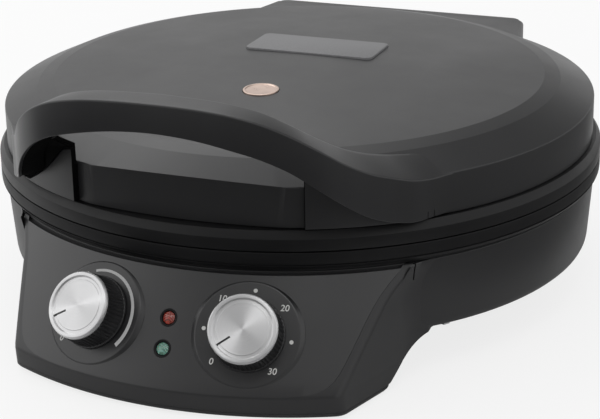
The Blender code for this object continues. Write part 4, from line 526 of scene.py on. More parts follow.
# The panel follows the housing's own outer form, inside the edge that is drawn for it
panel = joined(housing_form([(height, depth - PANEL_PROUD, inset, HOUSING_CORNER)
                             for height, depth, inset in housing_levels if height > PANEL_LOW],
                            TOOL_REAR),
               housing_form(panel_levels(IN_FRONT, 0, 0), TOOL_REAR), "INTERSECT")
panel = cut(panel, behind_face(0.0025))
for side in (-1, 1):
    pad = turned(eased([(0, -0.0021, 0), (0.0296, -0.0021, 0.0006), (0.0268, DIAL_PROUD, 0.0016),
                        (0, DIAL_PROUD, 0)], 6), 128)
    panel = united(panel, moved(pad, dial_place(side)))
    panel = cut(panel, moved(round_bar(SPINDLE_HOLE_R, *HOLE_ENDS), dial_place(side)))
for height in LAMPS.values():
    panel = cut(panel, moved(round_bar(LAMP_HOLE_R, *HOLE_ENDS), lamp_place(height)))
settled("panel_with_dials", panel, "base", panel_finish, "control_panel", ease=0.0003)

# Dial print: plain numbers and dots in white and a curved stripe in grey, screen printed.
# The ink lies a few hundredths of a millimetre thick on the raised dials.


def ink(name, tone):
    """Screen-printed ink, slightly broken up and matt."""
    return speckled(name, tuple(0.82 * part for part in tone), tone, (0.50, 0.62),
                    0.00012, 0.00001, 0.004)


white_ink = ink("white_ink", (0.72, 0.72, 0.70))
grey_ink = ink("grey_ink", (0.56, 0.56, 0.56))
INK = 0.00004
INK_TOP = DIAL_PROUD + INK


def gathered(bm, shapes):
    """Other forms put in with this one, side by side."""
    for shape in shapes:
        mesh = mesh_of(shape, "shape")
        bm.from_mesh(mesh)
        bpy.data.meshes.remove(mesh)
    return bm


def printed(name, side, shapes, finish):
    """Thin ink shapes laid on a dial face."""
    piece = settled(name, moved(gathered(bmesh.new(), shapes), dial_place(side)), "base", finish)


def figure(text, size, across, up):
    """A number on the dial, centred on its place, from a plain built-in letter."""
    curve = bpy.data.curves.new("figure", "FONT")
    curve.body = text
    curve.size = size
    curve.align_x = "CENTER"
    curve.align_y = "CENTER"
    curve.offset = 0.00005
    curve.shear = 0.14
    curve.extrude = INK / 2
    holder = shown("figure", curve)
    bm = bmesh.new()
    bm.from_mesh(holder.to_mesh())
    bpy.data.objects.remove(holder)
    bpy.data.curves.remove(curve)
    bmesh.ops.translate(bm, verts=bm.verts, vec=(across, up, DIAL_PROUD + INK / 2))
    return cleaned(bm)


def swept_ink(start, end, inner, outer_start, outer_end, steps=40):
    """A curved stripe whose width may change along it; angles run clockwise from the top."""
    rings = []
    for step in range(steps + 1):
        share = step / steps
        angle = radians(start + (end - start) * share)
        outer = outer_start + (outer_end - outer_start) * share
        rings.append([(r * sin(angle), r * cos(angle), height) for r, height in (
            (inner, DIAL_PROUD), (outer, DIAL_PROUD), (outer, INK_TOP), (inner, INK_TOP))])
    return skinned(rings)


def dot(radius, angle, size):
    bm = round_bar(size, DIAL_PROUD, INK_TOP, 24)
    bmesh.ops.translate(bm, verts=bm.verts, vec=(
        radius * sin(radians(angle)), radius * cos(radians(angle)), 0))
    return bm


FIGURE_SIZE = 0.0046
FIGURE_R = 0.0226
TIMER_FIGURES = (("0", -129.4), ("10", -38.7), ("20", 51.8), ("30", 143.1))
printed("timer_figures", 1, [
    figure(text, FIGURE_SIZE, FIGURE_R * sin(radians(angle)), FIGURE_R * cos(radians(angle)))
    for text, angle in TIMER_FIGURES] + [
    dot(0.0225, angle, 0.00105) for angle in (-84.1, 6.4, 97.5)], white_ink)
printed("thermostat_figures", -1, [figure("0", FIGURE_SIZE, -0.0155, -0.0172),
                                   dot(0.0224, -34, 0.0009)], white_ink)
printed("thermostat_stripe", -1, [swept_ink(-21, 126, 0.0217, 0.0230, 0.0238)], grey_ink)

# Lamps: two domed plastic lenses in round black bezels, red above green.
# Each lens is moulded with a face of fine dots, and snaps into a sleeve behind the panel.


def lens_plastic(name, dark, light):
    """Tinted lens plastic with a moulded face of fine dots, painted glints on the dots and painted
    shade between them, and a soft inner glow.
    """
    finish = speckled(name, dark, light, (0.16, 0.24), 0.0008, 0.00002, 0.003)
    tree = finish.node_tree
    place = wired(tree, "TexCoord").outputs["Object"]
    cells = wired(tree, "TexVoronoi", Vector=place, Scale=1500.0, Randomness=0.15)
    relief = wired(tree, "Bump", Height=cells.outputs["Distance"], Strength=0.8, Distance=0.00015)
    dots = wired(tree, "MapRange", Value=cells.outputs["Distance"], From_Min=0.10, From_Max=0.55)
    # Painted glints: a lighter colour at the middle of each moulded dot, and painted shade between the
    # dots.
    glinting_dots_colour = colour_between(tree, dots.outputs[0], [min(1.6 * part + 0.03, 0.8) for part in light],
                            [0.45 * part for part in dark])
    fed(tree, tree.nodes["Principled BSDF"], Coat_Weight=0.5, Subsurface_Weight=0.25,
        Subsurface_Scale=0.002, Normal=relief.outputs[0], Base_Color=glinting_dots_colour)
    return finish


LENS_R = 0.0032
LENS_TINTS = {"red": lens_plastic("red_lens_plastic", (0.28, 0.035, 0.020), (0.42, 0.06, 0.035)),
              "green": lens_plastic("green_lens_plastic", (0.15, 0.33, 0.25), (0.22, 0.45, 0.36))}
for colour, height in LAMPS.items():
    dome = [(LENS_R * share, -0.0003 + 0.0012 * (1 - share ** 2)) for share in
            (step / 10 for step in range(11))]
    settled(colour + "_lamp_lens", moved(turned(
        [(0, -0.0044)] + dome + [(LENS_R, -0.0044)], 48), lamp_place(height)),
        "base", LENS_TINTS[colour], colour + "_lens")
    settled(colour + "_lamp_bezel", moved(turned(eased([
        (0.0034, -0.0085, 0), (0.0068, -0.0085, 0), (0.0068, -0.0032, 0), (0.0046, -0.0032, 0),
        (0.0046, 0.0004, 0.0004), (0.0037, 0.0001, 0.0003), (0.0034, -0.0006, 0)]), 48),
        lamp_place(height)),
        "base", rim_finish, colour + "_lamp_holder")

# Knob grips: black moulded cups with fine upright ribs and a plain skirt at the foot.
# Each is pushed on the flat of its spindle and turns just clear of the dial.
RIBS = 54
knob_black = speckled("knob_black", (0.008, 0.008, 0.009), (0.014, 0.014, 0.015),
                      (0.30, 0.40), 0.0003, 0.00002, 0.010)


def ribbed_ring(radius, depth, height):
    """A ring with fine rounded ribs cut into it."""
    ring = []
    for step in range(6 * RIBS):
        angle = 2 * pi * step / (6 * RIBS)
        reach = radius - depth * (0.5 - 0.5 * cos(RIBS * angle)) ** 1.6
        ring.append((reach * cos(angle), reach * sin(angle), height))
    return ring


def knob_place(side):
    return dial_place(side) @ Matrix.Translation((0, 0, DIAL_PROUD))


for name, side in (("thermostat", -1), ("timer", 1)):
    grip = skinned([ribbed_ring(*level) for level in (
        (0.0189, 0, 0.0003), (0.0192, 0, 0.0007), (0.0192, 0, 0.0018), (0.0190, 0, 0.0021),
        (0.0187, 0.0003, 0.0022), (0.0187, 0.0007, 0.0028), (0.0179, 0.0007, 0.0138),
        (0.0178, 0.0004, 0.0143), (0.0176, 0, 0.0145))])
    grip = cut(grip, round_bar(0.0123, 0.0122, 0.0200), round_bar(0.0034, -0.0060, 0.0093))
    settled(name + "_grip", moved(grip, knob_place(side)), name, knob_black, name + "_knob",
            crisp=40)

# Knob caps: spun aluminium discs let into the top of the grips, with a raised bright rim.
# Their fine turning lines throw bow-tie highlights, and a black pointer is printed on each.
POINTER_ANGLE = -125
CAP_R = 0.0176
CAP_FACE = 0.0164


def spun_metal(name):
    """Bright metal whose turning lines follow the cap's own round map."""
    finish, tree, shader = new_finish(name)
    map_of_turns = wired(tree, "UVMap")
    map_of_turns.uv_map = "turns"
    stretch = wired(tree, "Mapping", Vector=map_of_turns.outputs[0], Scale=(3.0, 160.0, 1.0))
    lines = wired(tree, "TexNoise", Vector=stretch.outputs[0], Scale=1.0, Detail=3.0, Roughness=0.6)
    metal = colour_between(tree, lines.outputs[0], (0.54, 0.54, 0.55), (0.76, 0.76, 0.76))
    sheen = wired(tree, "MapRange", Value=lines.outputs[0], To_Min=0.34, To_Max=0.46)
    relief = wired(tree, "Bump", Height=lines.outputs[0], Strength=0.25, Distance=0.00002)
    direction = wired(tree, "Tangent")
    direction.direction_type = "UV_MAP"
    direction.uv_map = "turns"
    fed(tree, shader, Base_Color=metal, Metallic=1.0, Roughness=sheen.outputs[0], Anisotropic=0.92,
        Anisotropic_Rotation=0.25, Normal=relief.outputs[0], Tangent=direction.outputs[0])
    return finish


cap_metal = spun_metal("spun_aluminium")
pointer_black = speckled("pointer_ink", (0.008, 0.008, 0.008), (0.014, 0.014, 0.014),
                         (0.35, 0.45), 0.0002, 0.00001, 0.005)
for name, side in (("thermostat", -1), ("timer", 1)):
    face = [(radius, CAP_FACE) for radius in (0, 0.0040, 0.0080, 0.0120)]
    cap = turned(face + eased([
        (0.0131, CAP_FACE, 0.0002), (0.0134, 0.0162, 0.0002), (0.0147, 0.0162, 0.0003),
        (0.0154, 0.0170, 0.0003), (0.0171, 0.0170, 0.0006), (CAP_R, 0.0160, 0.0004),
        (CAP_R, 0.0148, 0), (0.0120, 0.0148, 0), (0.0120, 0.0128, 0), (0, 0.0128, 0)], 3), 96)
    turns = cap.loops.layers.uv.new("turns")
    for facet in cap.faces:
        middle = facet.calc_center_median()
        base = atan2(middle.y, middle.x)
        for loop in facet.loops:
            point = loop.vert.co
            reach = hypot(point.x, point.y)
            turn = base if reach < 0.00001 else atan2(point.y, point.x)
            if turn - base > pi:
                turn -= 2 * pi
            if base - turn > pi:
                turn += 2 * pi
            loop[turns].uv = (turn / (2 * pi), reach / CAP_R + point.z * 20)
    settled(name + "_spun_cap", moved(cap, knob_place(side)), name, cap_metal, name + "_cap")
    mark = block((-0.0005, 0.0072, 0.0162), (0.0005, 0.0150, 0.01646))
    pointer = moved(mark, Matrix.Rotation(radians(-POINTER_ANGLE), 4, "Z"))
    piece = settled(name + "_pointer", moved(pointer, knob_place(side)), name, pointer_black)

# Zinc-plated metal: the frame's own hinge pins, spindles, screws and thermostat body.
# The plating is lightly scratched, with duller patches where it was handled.


def plated(name, dark, light, rough, streak):
    """Plated or drawn metal: streaks along the part and a slight tarnish."""
    finish = speckled(name, dark, light, rough, 0.0004, 0.00001, 0.006, 1.0)
    tree = finish.node_tree
    place = wired(tree, "TexCoord").outputs["Object"]
    stretch = wired(tree, "Mapping", Vector=place, Scale=streak)
    lines = wired(tree, "TexNoise", Vector=stretch.outputs[0], Scale=1.0, Detail=4.0)
    relief = wired(tree, "Bump", Height=lines.outputs[0], Strength=0.3, Distance=0.00003)
    tree.links.new(relief.outputs[0], tree.nodes["Principled BSDF"].inputs["Normal"])
    return finish


def refinished(finish, *names):
    """Gives nodes of the frame a finish and leaves their shape."""
    for name in names:
        for slot_of_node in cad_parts[name].material_slots:
            slot_of_node.material = finish


zinc = plated("zinc_plate", (0.42, 0.43, 0.44), (0.62, 0.62, 0.62), (0.26, 0.40), (900, 900, 900))
refinished(zinc, "hinge_pin_left", "hinge_pin_right", "thermostat_spindle", "timer_spindle",
           "thermostat_body")
for holder, count in (("handle", 4), ("bottom_cover", 4), ("lower_reflector", 3),
                      ("upper_reflector", 3)):
    refinished(zinc, *[f"{holder}_screw_{number}" for number in range(1, count + 1)])

# Heating elements and reflectors: sheathed rods bent in a ring, over pressed aluminised pans.
# The sheath is browned by heat, and the pans keep their rolling lines. The timer's body and
# the terminal block between them are moulded in ivory nylon.
sheath = plated("heated_sheath", (0.10, 0.085, 0.075), (0.22, 0.19, 0.17), (0.35, 0.50),
                (60, 60, 900))
aluminised = plated("aluminised_sheet", (0.52, 0.53, 0.54), (0.66, 0.67, 0.68), (0.26, 0.36),
                    (30, 1400, 30))
refinished(sheath, "lower_element", "upper_element")
refinished(aluminised, "lower_reflector", "upper_reflector")
ivory = speckled("ivory_nylon", (0.52, 0.48, 0.38), (0.62, 0.58, 0.48), (0.42, 0.55),
                 0.0004, 0.00003)
refinished(ivory, "timer_body", "terminal_block")

# Covers and feet: plain black sheet and moulded covers underneath, on four rubber feet.
# The cord gland in the pedestal's rear is the same black rubber.
cover_black = speckled("cover_black", (0.012, 0.012, 0.013), (0.020, 0.020, 0.021),
                       (0.50, 0.62), 0.0005, 0.00004)
rubber = speckled("foot_rubber", (0.012, 0.012, 0.012), (0.022, 0.021, 0.020), (0.68, 0.85),
                  0.0003, 0.00005, 0.004)
refinished(cover_black, "front_cover", "bottom_cover")
for end, x, y, top in (("front", 0.0720, -0.1740, 0.0020), ("rear", 0.0600, 0.1600, 0.0017)):
    for side, sign in (("left", -1), ("right", 1)):
        pad = turned(eased([(0, 0, 0), (0.0085, 0, 0.0006), (0.0085, top, 0.0003),
                            (0.0030, top, 0), (0.0030, 0.0060, 0), (0, 0.0060, 0)]), 48)
        settled(f"foot_{end}_{side}_pad", moved(pad, Matrix.Translation((sign * x, y, 0))), "base",
                rubber, f"foot_{end}_{side}")
gland = turned(eased([
    (0.0036, -0.0073, 0), (0.0062, -0.0073, 0), (0.0062, 0.0003, 0), (0.0090, 0.0003, 0.0004),
    (0.0090, 0.0020, 0.0006), (0.0068, 0.0026, 0.0004), (0.0063, 0.0045, 0.0005),
    (0.0036, 0.0045, 0.0005)]), 48)
settled("rubber_gland", moved(gland, Matrix.Translation((0.0350, 0.1770, 0.0220))
                              @ Matrix.Rotation(-pi / 2, 4, "X")), "base", rubber, "cord_gland")

# Upper rim and upper cooking plate: the lid's own ring and dish, facing the lower ones.
# They are moulded and pressed like the lower pair, and close on them with a hairline gap.
upper_rim_finish = speckled("upper_rim_black", (0.005, 0.005, 0.0055), (0.009, 0.009, 0.0095),
                            (0.36, 0.46), 0.0004, 0.00003, gloss=0.25)
settled("upper_rim_ring", turned(eased(rim_steps(1) + [(RIM_R, PARTING + 0.0068, 0.0008)])),
        "lid", upper_rim_finish, "upper_rim")
settled("upper_cooking_plate", turned(dish(1)), "lid", nonstick, "upper_plate")

# Lid shell: the satin black dome with its banded edge, the hood over the hinge behind it,
# and the shallow finger scoop in front. One moulding, hollow, with the hinge lugs inside.
LID_BOTTOM = 0.0894
LID_R = 0.1680
LID_WALL = 0.0025
CREASE = 0.1105
DOME_TOP = 0.1270
DOME_FALL = 0.0054
DOME_R = 0.1400
DOME_EDGE = 0.1216
SHOULDER_R = 0.1489
SHOULDER_TOP = 0.1193
ROOM_LOW = 0.0771
lid_finish = speckled("satin_black_lid", (0.011, 0.011, 0.012), (0.016, 0.016, 0.017),
                      (0.34, 0.42), 0.0005, 0.00004, 0.055)


def dome_corners(inset):
    """The dome's outline from its middle to its wall, moved in by an inset."""
    corners = [(0, DOME_TOP - inset, 0)]
    for step in range(1, 14):
        radius = DOME_R * step / 14
        corners.append((radius, DOME_TOP - inset - DOME_FALL * (radius / DOME_R) ** 2, 0))
    return corners + [(DOME_R, DOME_EDGE - inset, 0.0015), (SHOULDER_R, SHOULDER_TOP - inset, 0.0012),
                      (LID_R - inset, CREASE + 0.0003 - inset, 0.0011)]


def scoop(inset, grow):
    """The scoop's room in front of the lid, opening out above the crease."""
    bend = 0.2920
    front = -0.1776
    centre = bend - (LID_R - 0.0040)
    radius = bend - inset
    rings = []
    for height, half in ((0.0774, 0.0632), (LID_BOTTOM, 0.0650), (CREASE, 0.0680),
                         (0.1160, 0.0780), (0.1225, 0.0898)):
        half += grow
        ring = []
        for step in range(41):
            x = half * (step / 20 - 1)
            ring.append((x, centre - sqrt(radius ** 2 - x ** 2), height))
        rings.append(ring + [(half, front, height), (-half, front, height)])
    return skinned(rings)


def hood(inset, low, top):
    """The hood's body, its top edge rounded over."""
    half, front, rear, corner, ease = 0.0840, 0.1350, 0.1835, 0.0070, 0.0030
    flare = 0.0120 / 0.0485
    rings = [rear_box(half - inset, front, rear - inset, corner - inset, flare, low)]
    for step in range(7):
        turn = step / 6 * pi / 2
        inner = inset + ease * (1 - cos(turn))
        rings.append(rear_box(half - inner, front, rear - inner, max(corner - inner, 0.0012),
                              flare, top - ease * (1 - sin(turn))))
    return skinned(rings)


def on_dome(y):
    """A frame on the dome's middle line, square to its surface."""
    share = abs(y) / DOME_R
    lean = atan2(2 * DOME_FALL * share / DOME_R, 1.0)
    return Matrix.Translation((0, y, DOME_TOP - DOME_FALL * share ** 2)) \
        @ Matrix.Rotation(lean if y < 0 else -lean, 4, "X")


def rounded_plate(length, width, corner, levels):
    """A flat plate with round corners, its (grow, height) levels bridged upwards."""
    rings = []
    for grow, height in levels:
        ring = []
        for turn, (sx, sy) in enumerate(((1, 1), (-1, 1), (-1, -1), (1, -1))):
            for step in range(9):
                angle = (turn + step / 8) * pi / 2
                ring.append((sx * (length / 2 - corner) + (corner + grow) * cos(angle),
                             sy * (width / 2 - corner) + (corner + grow) * sin(angle), height))
        rings.append(ring)
    return skinned(rings)


lid = turned(eased(dome_corners(0) + [(LID_R, LID_BOTTOM, 0), (0, LID_BOTTOM, 0)], 4))
lid = united(lid, hood(0, HINGE_Z + 0.0025, 0.1112))
lid = cut(lid, scoop(0, 0))
room = turned(eased(dome_corners(LID_WALL) + [(LID_R - LID_WALL, ROOM_LOW, 0), (0, ROOM_LOW, 0)],
                    4), 96)
room = cut(room, scoop(LID_WALL, LID_WALL))
rim_room = round_bar(RIM_R + 0.0005, ROOM_LOW, 0.0892, ROUND_STEPS)
lid = cut(lid, room, hood(LID_WALL, ROOM_LOW, 0.1087), rim_room)
BADGE_Y = -0.0576
PLATE_Y = 0.0300
PLATE_FORM = (0.0780, 0.0345, 0.0040)
lid = cut(lid, moved(round_bar(0.0103, -0.0010, 0.0060, 96), on_dome(BADGE_Y)),
          moved(rounded_plate(*PLATE_FORM, ((0.0003, -0.0013), (0.0003, 0.0060))),
                on_dome(PLATE_Y)))
lug_top = 0.10995 - HINGE_Z
lug_front = -0.0040
lug_rear = 0.00175
lid_lug = [(lug_front, lug_top)] + knuckle(acos(lug_front / KNUCKLE_R), 2 * pi + acos(
    lug_rear / KNUCKLE_R)) + [(lug_rear, lug_top)]
lid = united(lid, *hinge_lugs(lid_lug, LID_LUG_START))
lid = cut(lid, *hinge_bars(0.00935, BASE_LUG_START, LUG_WIDTH + 0.0015, 0.0008),
          *hinge_bars(PIN_BORE_R, LID_LUG_START, LUG_WIDTH, 0.0060))
# Holes for the handle's four screws, driven from inside the lid
SCREW_HEIGHT = 0.1000
for sign in (-1, 1):
    for angle in (36.5, 40.5):
        lid = cut(lid, moved(round_bar(0.0018, 0.1586, 0.1720, 24),
                             Matrix.Translation((0, 0, SCREW_HEIGHT))
                             @ Matrix.Rotation(radians(sign * angle), 4, "Z")
                             @ Matrix.Rotation(pi / 2, 4, "X")))
settled("domed_lid", lid, "lid", lid_finish, "lid_shell", ease=0.0005)

# Badge and raised plate: a small plain rose-gold disc near the front of the dome,
# and a nameless speckled grey plate behind it. Both are glued in shallow pockets.
rose = plated("rose_metal", (0.50, 0.37, 0.31), (0.66, 0.53, 0.46), (0.26, 0.38),
              (1400, 40, 40))
settled("plain_badge", moved(turned(eased([
    (0, -0.0007, 0), (0.0100, -0.0007, 0), (0.0100, 0.0006, 0.0004), (0.0088, 0.0006, 0.0003),
    (0.0083, 0.0003, 0.0003), (0, 0.0003, 0)]), 96), on_dome(BADGE_Y)), "lid", rose, "badge")
plate_grey = speckled("speckled_grey", (0.10, 0.10, 0.105), (0.24, 0.24, 0.245), (0.50, 0.62),
                      0.0005, 0.00006, 0.0014)
settled("raised_grey_plate", moved(rounded_plate(*PLATE_FORM, (
    (0, -0.0010), (0, 0.0005), (-0.0001, 0.0007), (-0.0003, 0.0008))), on_dome(PLATE_Y)),
    "lid", plate_grey, "lid_plate")

# Handle: a wide arched moulding that stands over the scoop and runs into the lid's own slope
# and wall at both ends, where it folds down into two hollow cheeks. Screwed on from inside.
# The arch's edges as the photograph shows them on the left and on the right, every 4 degrees
# from the middle, in mm: front radius, top, foot, rear radius, rear top
ARCH = ((198.5, 160.7, 145.8, 179.5, 160.9), (199.0, 160.6, 145.3, 180.5, 160.8),
        (200.3, 160.0, 143.8, 182.5, 160.6), (202.6, 158.7, 141.3, 184.6, 159.4),
        (203.4, 155.3, 137.3, 185.6, 156.3), (202.2, 149.0, 130.3, 185.4, 150.2),
        (198.3, 140.0, 119.5, 180.6, 141.7), (191.7, 130.0, 108.2, 173.2, 134.0),
        (184.6, 122.0, 98.8, 165.2, 128.3), (179.2, 116.8, 93.3, 156.6, 123.5),
        (175.7, 112.9, 90.4, 149.6, 119.9), (171.2, 110.6, 89.8, 148.6, 119.45),
        (168.5, 110.5, 89.7, 148.8, 119.35), (168.15, 110.55, 89.7, 148.9, 119.35))
# The ridge where a cheek folds into the hollow under the arch: angle and height
RIDGE = ((22.0, 0.1180), (24.2, 0.1165), (27.0, 0.1088), (28.7, 0.1044), (30.5, 0.1005),
         (33.2, 0.0955), (36.2, 0.0906), (38.0, 0.0903), (48.0, 0.0903))
CHEEK_START = 22.0
CHEEK_FACE = 0.1716
CHEEK_BACK = 0.1650
CHEEK_FOOT = LID_BOTTOM + 0.0003


def arch_edges(angle):
    """The arch's five measures at an angle, eased through the listed ones."""
    place = abs(angle) / 4
    first = min(int(place), len(ARCH) - 2)
    share = place - first
    before = ARCH[abs(first - 1)]
    after = ARCH[min(first + 2, len(ARCH) - 1)]
    measures = []
    for a, b, c, d in zip(before, ARCH[first], ARCH[first + 1], after):
        measures.append(0.001 * (b + 0.5 * share * (c - a + share * (
            2 * a - 5 * b + 4 * c - d + share * (3 * (b - c) + d - a)))))
    return measures


def ridge_height(angle):
    """Height of a cheek's ridge, straight between the listed angles."""
    for (low, start_height), (high, end_height) in zip(RIDGE, RIDGE[1:]):
        if angle <= high:
            share = (angle - low) / (high - low)
            return start_height + (end_height - start_height) * share
    return RIDGE[-1][1]


def around(sections):
    """Sections of (angle, [(radius, height)]) set round the axis and skinned."""
    return skinned([[(r * sin(radians(angle)), -r * cos(radians(angle)), z) for r, z in points]
                    for angle, points in sections])


def arch_section(angle):
    """The arch: a channel open downwards, with a lip along its front and rear."""
    front, top, foot, rear, rear_top = arch_edges(angle)
    lip = 0.0023
    roof = foot + 0.0040
    heel = foot + 0.0038 * min(max((abs(angle) - 20.6) / 1.2, 0), 1)
    return eased([(front, foot, 0.0007), (front, top, 0.0011), (rear, rear_top, 0.0036),
                  (rear, heel, 0.0004), (rear + lip, heel, 0.0001), (rear + lip, roof, 0),
                  (front - lip, roof, 0), (front - lip, foot, 0.0004)], 5)


def cheek_lines(angle):
    """The arch's foot, the ridge, and the radius where the cheek meets the arch."""
    front, top, foot, rear, rear_top = arch_edges(angle)
    return foot, ridge_height(angle), max(rear + 0.0035, CHEEK_FACE - 0.0016)


def cheek_section(angle):
    """A cheek: up the lid's wall to its ridge, leaning out under the arch, and back down."""
    foot, ridge, meet = cheek_lines(angle)
    return eased([(CHEEK_BACK, CHEEK_FOOT, 0), (CHEEK_FACE, CHEEK_FOOT, 0.0004),
                  (CHEEK_FACE, ridge, 0.0009), (CHEEK_FACE - 0.0016, ridge + 0.0014, 0.0003),
                  (meet, max(foot + 0.0045, ridge + 0.0024), 0),
                  (meet - 0.0012, max(foot + 0.0062, ridge + 0.0040), 0),
                  (CHEEK_FACE - 0.0028, max(ridge + 0.0030, CREASE), 0),
                  (CHEEK_FACE - 0.0030, CREASE - 0.0010, 0), (CHEEK_BACK, CREASE - 0.0010, 0)], 4)


def lid_skin(gap):
    """The lid's outer face, a fitting gap larger, to trim the handle against."""
    corners = [(radius + (gap if radius > SHOULDER_R else 0), height, ease)
               for radius, height, ease in dome_corners(-gap)]
    return turned(eased(corners + [(LID_R + gap, PARTING, 0), (0, PARTING, 0)], 4))


handle = around([(step / 2, arch_section(step / 2)) for step in range(-97, 98)])
for sign in (-1, 1):
    cheek = around([(sign * angle, cheek_section(angle)) for angle in
                    (CHEEK_START + step / 2 for step in range(33))])
    handle = joined(handle, cheek, "UNION", "MANIFOLD")
handle = joined(handle, lid_skin(0.0001), "DIFFERENCE", "MANIFOLD")
# Two short nicks in the band's lower edge, where the moulding joins the lid
handle = notched(handle, (-0.0002, -0.1760, 0.0880), (0.0002, -0.1683, 0.0938), 43.0, 44.4)
settled("arched_handle", handle, "lid", lid_finish, "handle", ease=0.0002)

# Under-cover: the matt black strip that closes the arch from below, clipped between its lips.
# Its near-black matt finish is painted shade for the hollow; at both ends it runs on as a thin sheet of
# painted shade in the hollow and over the cheek's square end.
shade_black_for_hollow = speckled("matt_black_cover_painted_shade", (0.0015, 0.0015, 0.0016), (0.0028, 0.0028, 0.0030),
                        (0.80, 0.92), 0.0005, 0.00003, 0.020, gloss=0.05)


def shade_sheet_section(angle):
    """A thin sheet of painted shade in the hollow, just off the cheek's leaning side."""
    foot, ridge, meet = cheek_lines(angle)
    outer = [(CHEEK_FACE - 0.0011, ridge + 0.0012), (meet + 0.0004, max(foot + 0.0036, ridge + 0.0022))]
    return outer + [(radius - 0.0003, height + 0.0001) for radius, height in reversed(outer)]


def cover_section(angle):
    """The strip between the arch's lips, reaching back over the cheeks."""
    front, top, foot, rear, rear_top = arch_edges(angle)
    strip_front = front - 0.0025
    back = max(rear + 0.0025, CHEEK_FACE - 0.0026)
    low, high = foot + 0.0006, foot + 0.0018
    return eased([(strip_front, low, 0.0003), (strip_front, high, 0), (back, high, 0),
                  (back, low, 0.0003)])


cover = around([(step / 2, cover_section(step / 2)) for step in range(-82, 83)])
for sign in (-1, 1):
    shade_sheet = around([(sign * angle, shade_sheet_section(angle)) for angle in
                     (CHEEK_START + 0.02 + 19.2 * step / 38 for step in range(39))])
    # A thin slab on the cheek's square end: painted shade for the dark well beside it.
    end_shade_sheet = around([(sign * angle, cheek_section(CHEEK_START)) for angle in
                        (CHEEK_START - 0.10, CHEEK_START + 0.01)])
    cover = gathered(cover, (shade_sheet, end_shade_sheet))
settled("handle_under_cover_with_painted_shade", cover, "lid", shade_black_for_hollow, "handle_cover")

# Studio: a pale sheet underneath, three soft boxes, and cards that only gloss reflects.
# The world is white to the eye and in gloss, and a little dimmer as light on the object.
# The camera stands at the photograph's place.


def studio_surface(name, colour):
    finish, tree, shader = new_finish(name)
    fed(tree, shader, Base_Color=(*colour, 1), Roughness=0.9)
    return finish, tree, shader


def reckoned(tree, operation, first, second):
    """The result of a math operation on two values in a node tree."""
    node = wired(tree, "Math")
    node.operation = operation
    for socket, value in zip(node.inputs, (first, second)):
        plugged(tree, socket, value)
    return node


GLOW_TO_THE_EYE = 0.80
paper, paper_tree, paper_shader = studio_surface("pale_paper", (0.86, 0.86, 0.86))
glow = wired(paper_tree, "Emission", Color=(1, 1, 1, 1), Strength=1.0)
eye = wired(paper_tree, "LightPath").outputs["Is Camera Ray"]
eye_share = reckoned(paper_tree, "MULTIPLY", eye, GLOW_TO_THE_EYE)
blend_of_paper = wired(paper_tree, "MixShader", Fac=eye_share.outputs[0])
paper_tree.links.new(paper_shader.outputs[0], blend_of_paper.inputs[1])
paper_tree.links.new(glow.outputs[0], blend_of_paper.inputs[2])
paper_tree.links.new(blend_of_paper.outputs[0], paper_tree.nodes["Material Output"].inputs[0])
floor_bm = bmesh.new()
bmesh.ops.create_circle(floor_bm, cap_ends=True, segments=96, radius=6.0)
floor_mesh = mesh_of(floor_bm, "floor")
floor_mesh.materials.append(paper)
shown("floor", floor_mesh)

world = bpy.data.worlds.new("studio")
bpy.context.scene.world = world
world.use_nodes = True
air = world.node_tree
rays = wired(air, "LightPath").outputs
seen = reckoned(air, "ADD", rays["Is Camera Ray"], rays["Is Glossy Ray"])
seen_too = reckoned(air, "ADD", seen.outputs[0], rays["Is Transmission Ray"])
seen_too.use_clamp = True
level = wired(air, "MapRange", Value=seen_too.outputs[0], To_Min=0.70, To_Max=1.0)
fed(air, air.nodes["Background"], Color=(1, 1, 1, 1), Strength=level.outputs[0])


def soft_box(name, place, aim, width, height, power):
    data = bpy.data.lights.new(name, "AREA")
    data.shape = "RECTANGLE"
    data.size = width
    data.size_y = height
    data.energy = power
    lamp = shown(name, data)
    lamp.location = place
    lamp.rotation_euler = (Vector(aim) - Vector(place)).to_track_quat("-Z", "Y").to_euler()


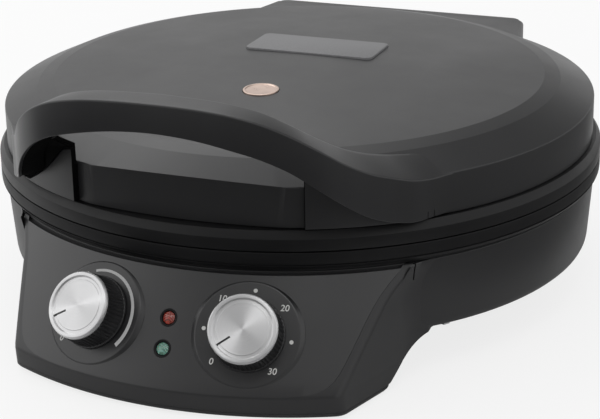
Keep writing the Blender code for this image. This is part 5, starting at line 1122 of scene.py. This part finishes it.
soft_box("left_box", (-1.55, -0.55, 0.75), (0, -0.1, 0.06), 1.6, 1.2, 3.2)
soft_box("key_box", (0.46, -1.25, 2.18), (0.03, -0.17, 0.06), 0.7, 0.7, 5)
soft_box("top_box", (-0.9, 0.85, 1.5), (0, 0, 0.1), 1.4, 1.0, 6.5)


def flag(name, level, left, right, low, high):
    """A card of an even tone that only shows as a reflection in gloss."""
    finish, tree, shader = studio_surface(name + "_card", (0.004, 0.004, 0.004))
    fed(tree, shader, Emission_Color=(1, 1, 1, 1), Emission_Strength=level)
    bm = bmesh.new()
    bm.faces.new([bm.verts.new(corner) for corner in (
        (left, *low), (right, *low), (right, *high), (left, *high))])
    mesh = mesh_of(bm, name)
    mesh.materials.append(finish)
    card = shown(name, mesh)
    card.visible_camera = False
    card.visible_diffuse = False
    card.visible_shadow = False


# Name, tone, left and right end, then (y, z) of the near or low edge and of the other
flag("low_flag", 0.05, -0.95, 2.2, (-1.6, 0.004), (-0.235, 0.004))
flag("side_flag", 0.18, 0.21, 2.2, (-0.235, 0.004), (1.5, 0.004))
flag("front_flag", 0.38, -0.9, 2.2, (-2.2, 0.0), (-2.2, 2.6))
flag("sky_flag", 0.72, -3.2, -0.2, (2.5, 0.0), (2.5, 6.5))
flag("back_flag", 0.27, -0.2, 3.0, (2.5, 0.75), (2.5, 6.5))

CAMERA_PLACE = (0.3853947, -0.9696000, 0.4366630)
CAMERA_AROUND = radians(21.5)
CAMERA_DOWN = radians(20.84772)
CAMERA_ROLL = radians(-1.0953938)
lens = bpy.data.cameras.new("camera")
lens.sensor_width = 36
lens.sensor_fit = "HORIZONTAL"
lens.lens = 114.736918
lens.clip_start = 0.01
camera = shown("camera", lens)
camera.matrix_world = Matrix.Translation(CAMERA_PLACE) \
    @ Matrix.Rotation(CAMERA_AROUND, 4, "Z") @ Matrix.Rotation(pi / 2 - CAMERA_DOWN, 4, "X") \
    @ Matrix.Rotation(CAMERA_ROLL, 4, "Z")
bpy.context.scene.camera = camera
bpy.context.scene.view_settings.view_transform = "Standard"
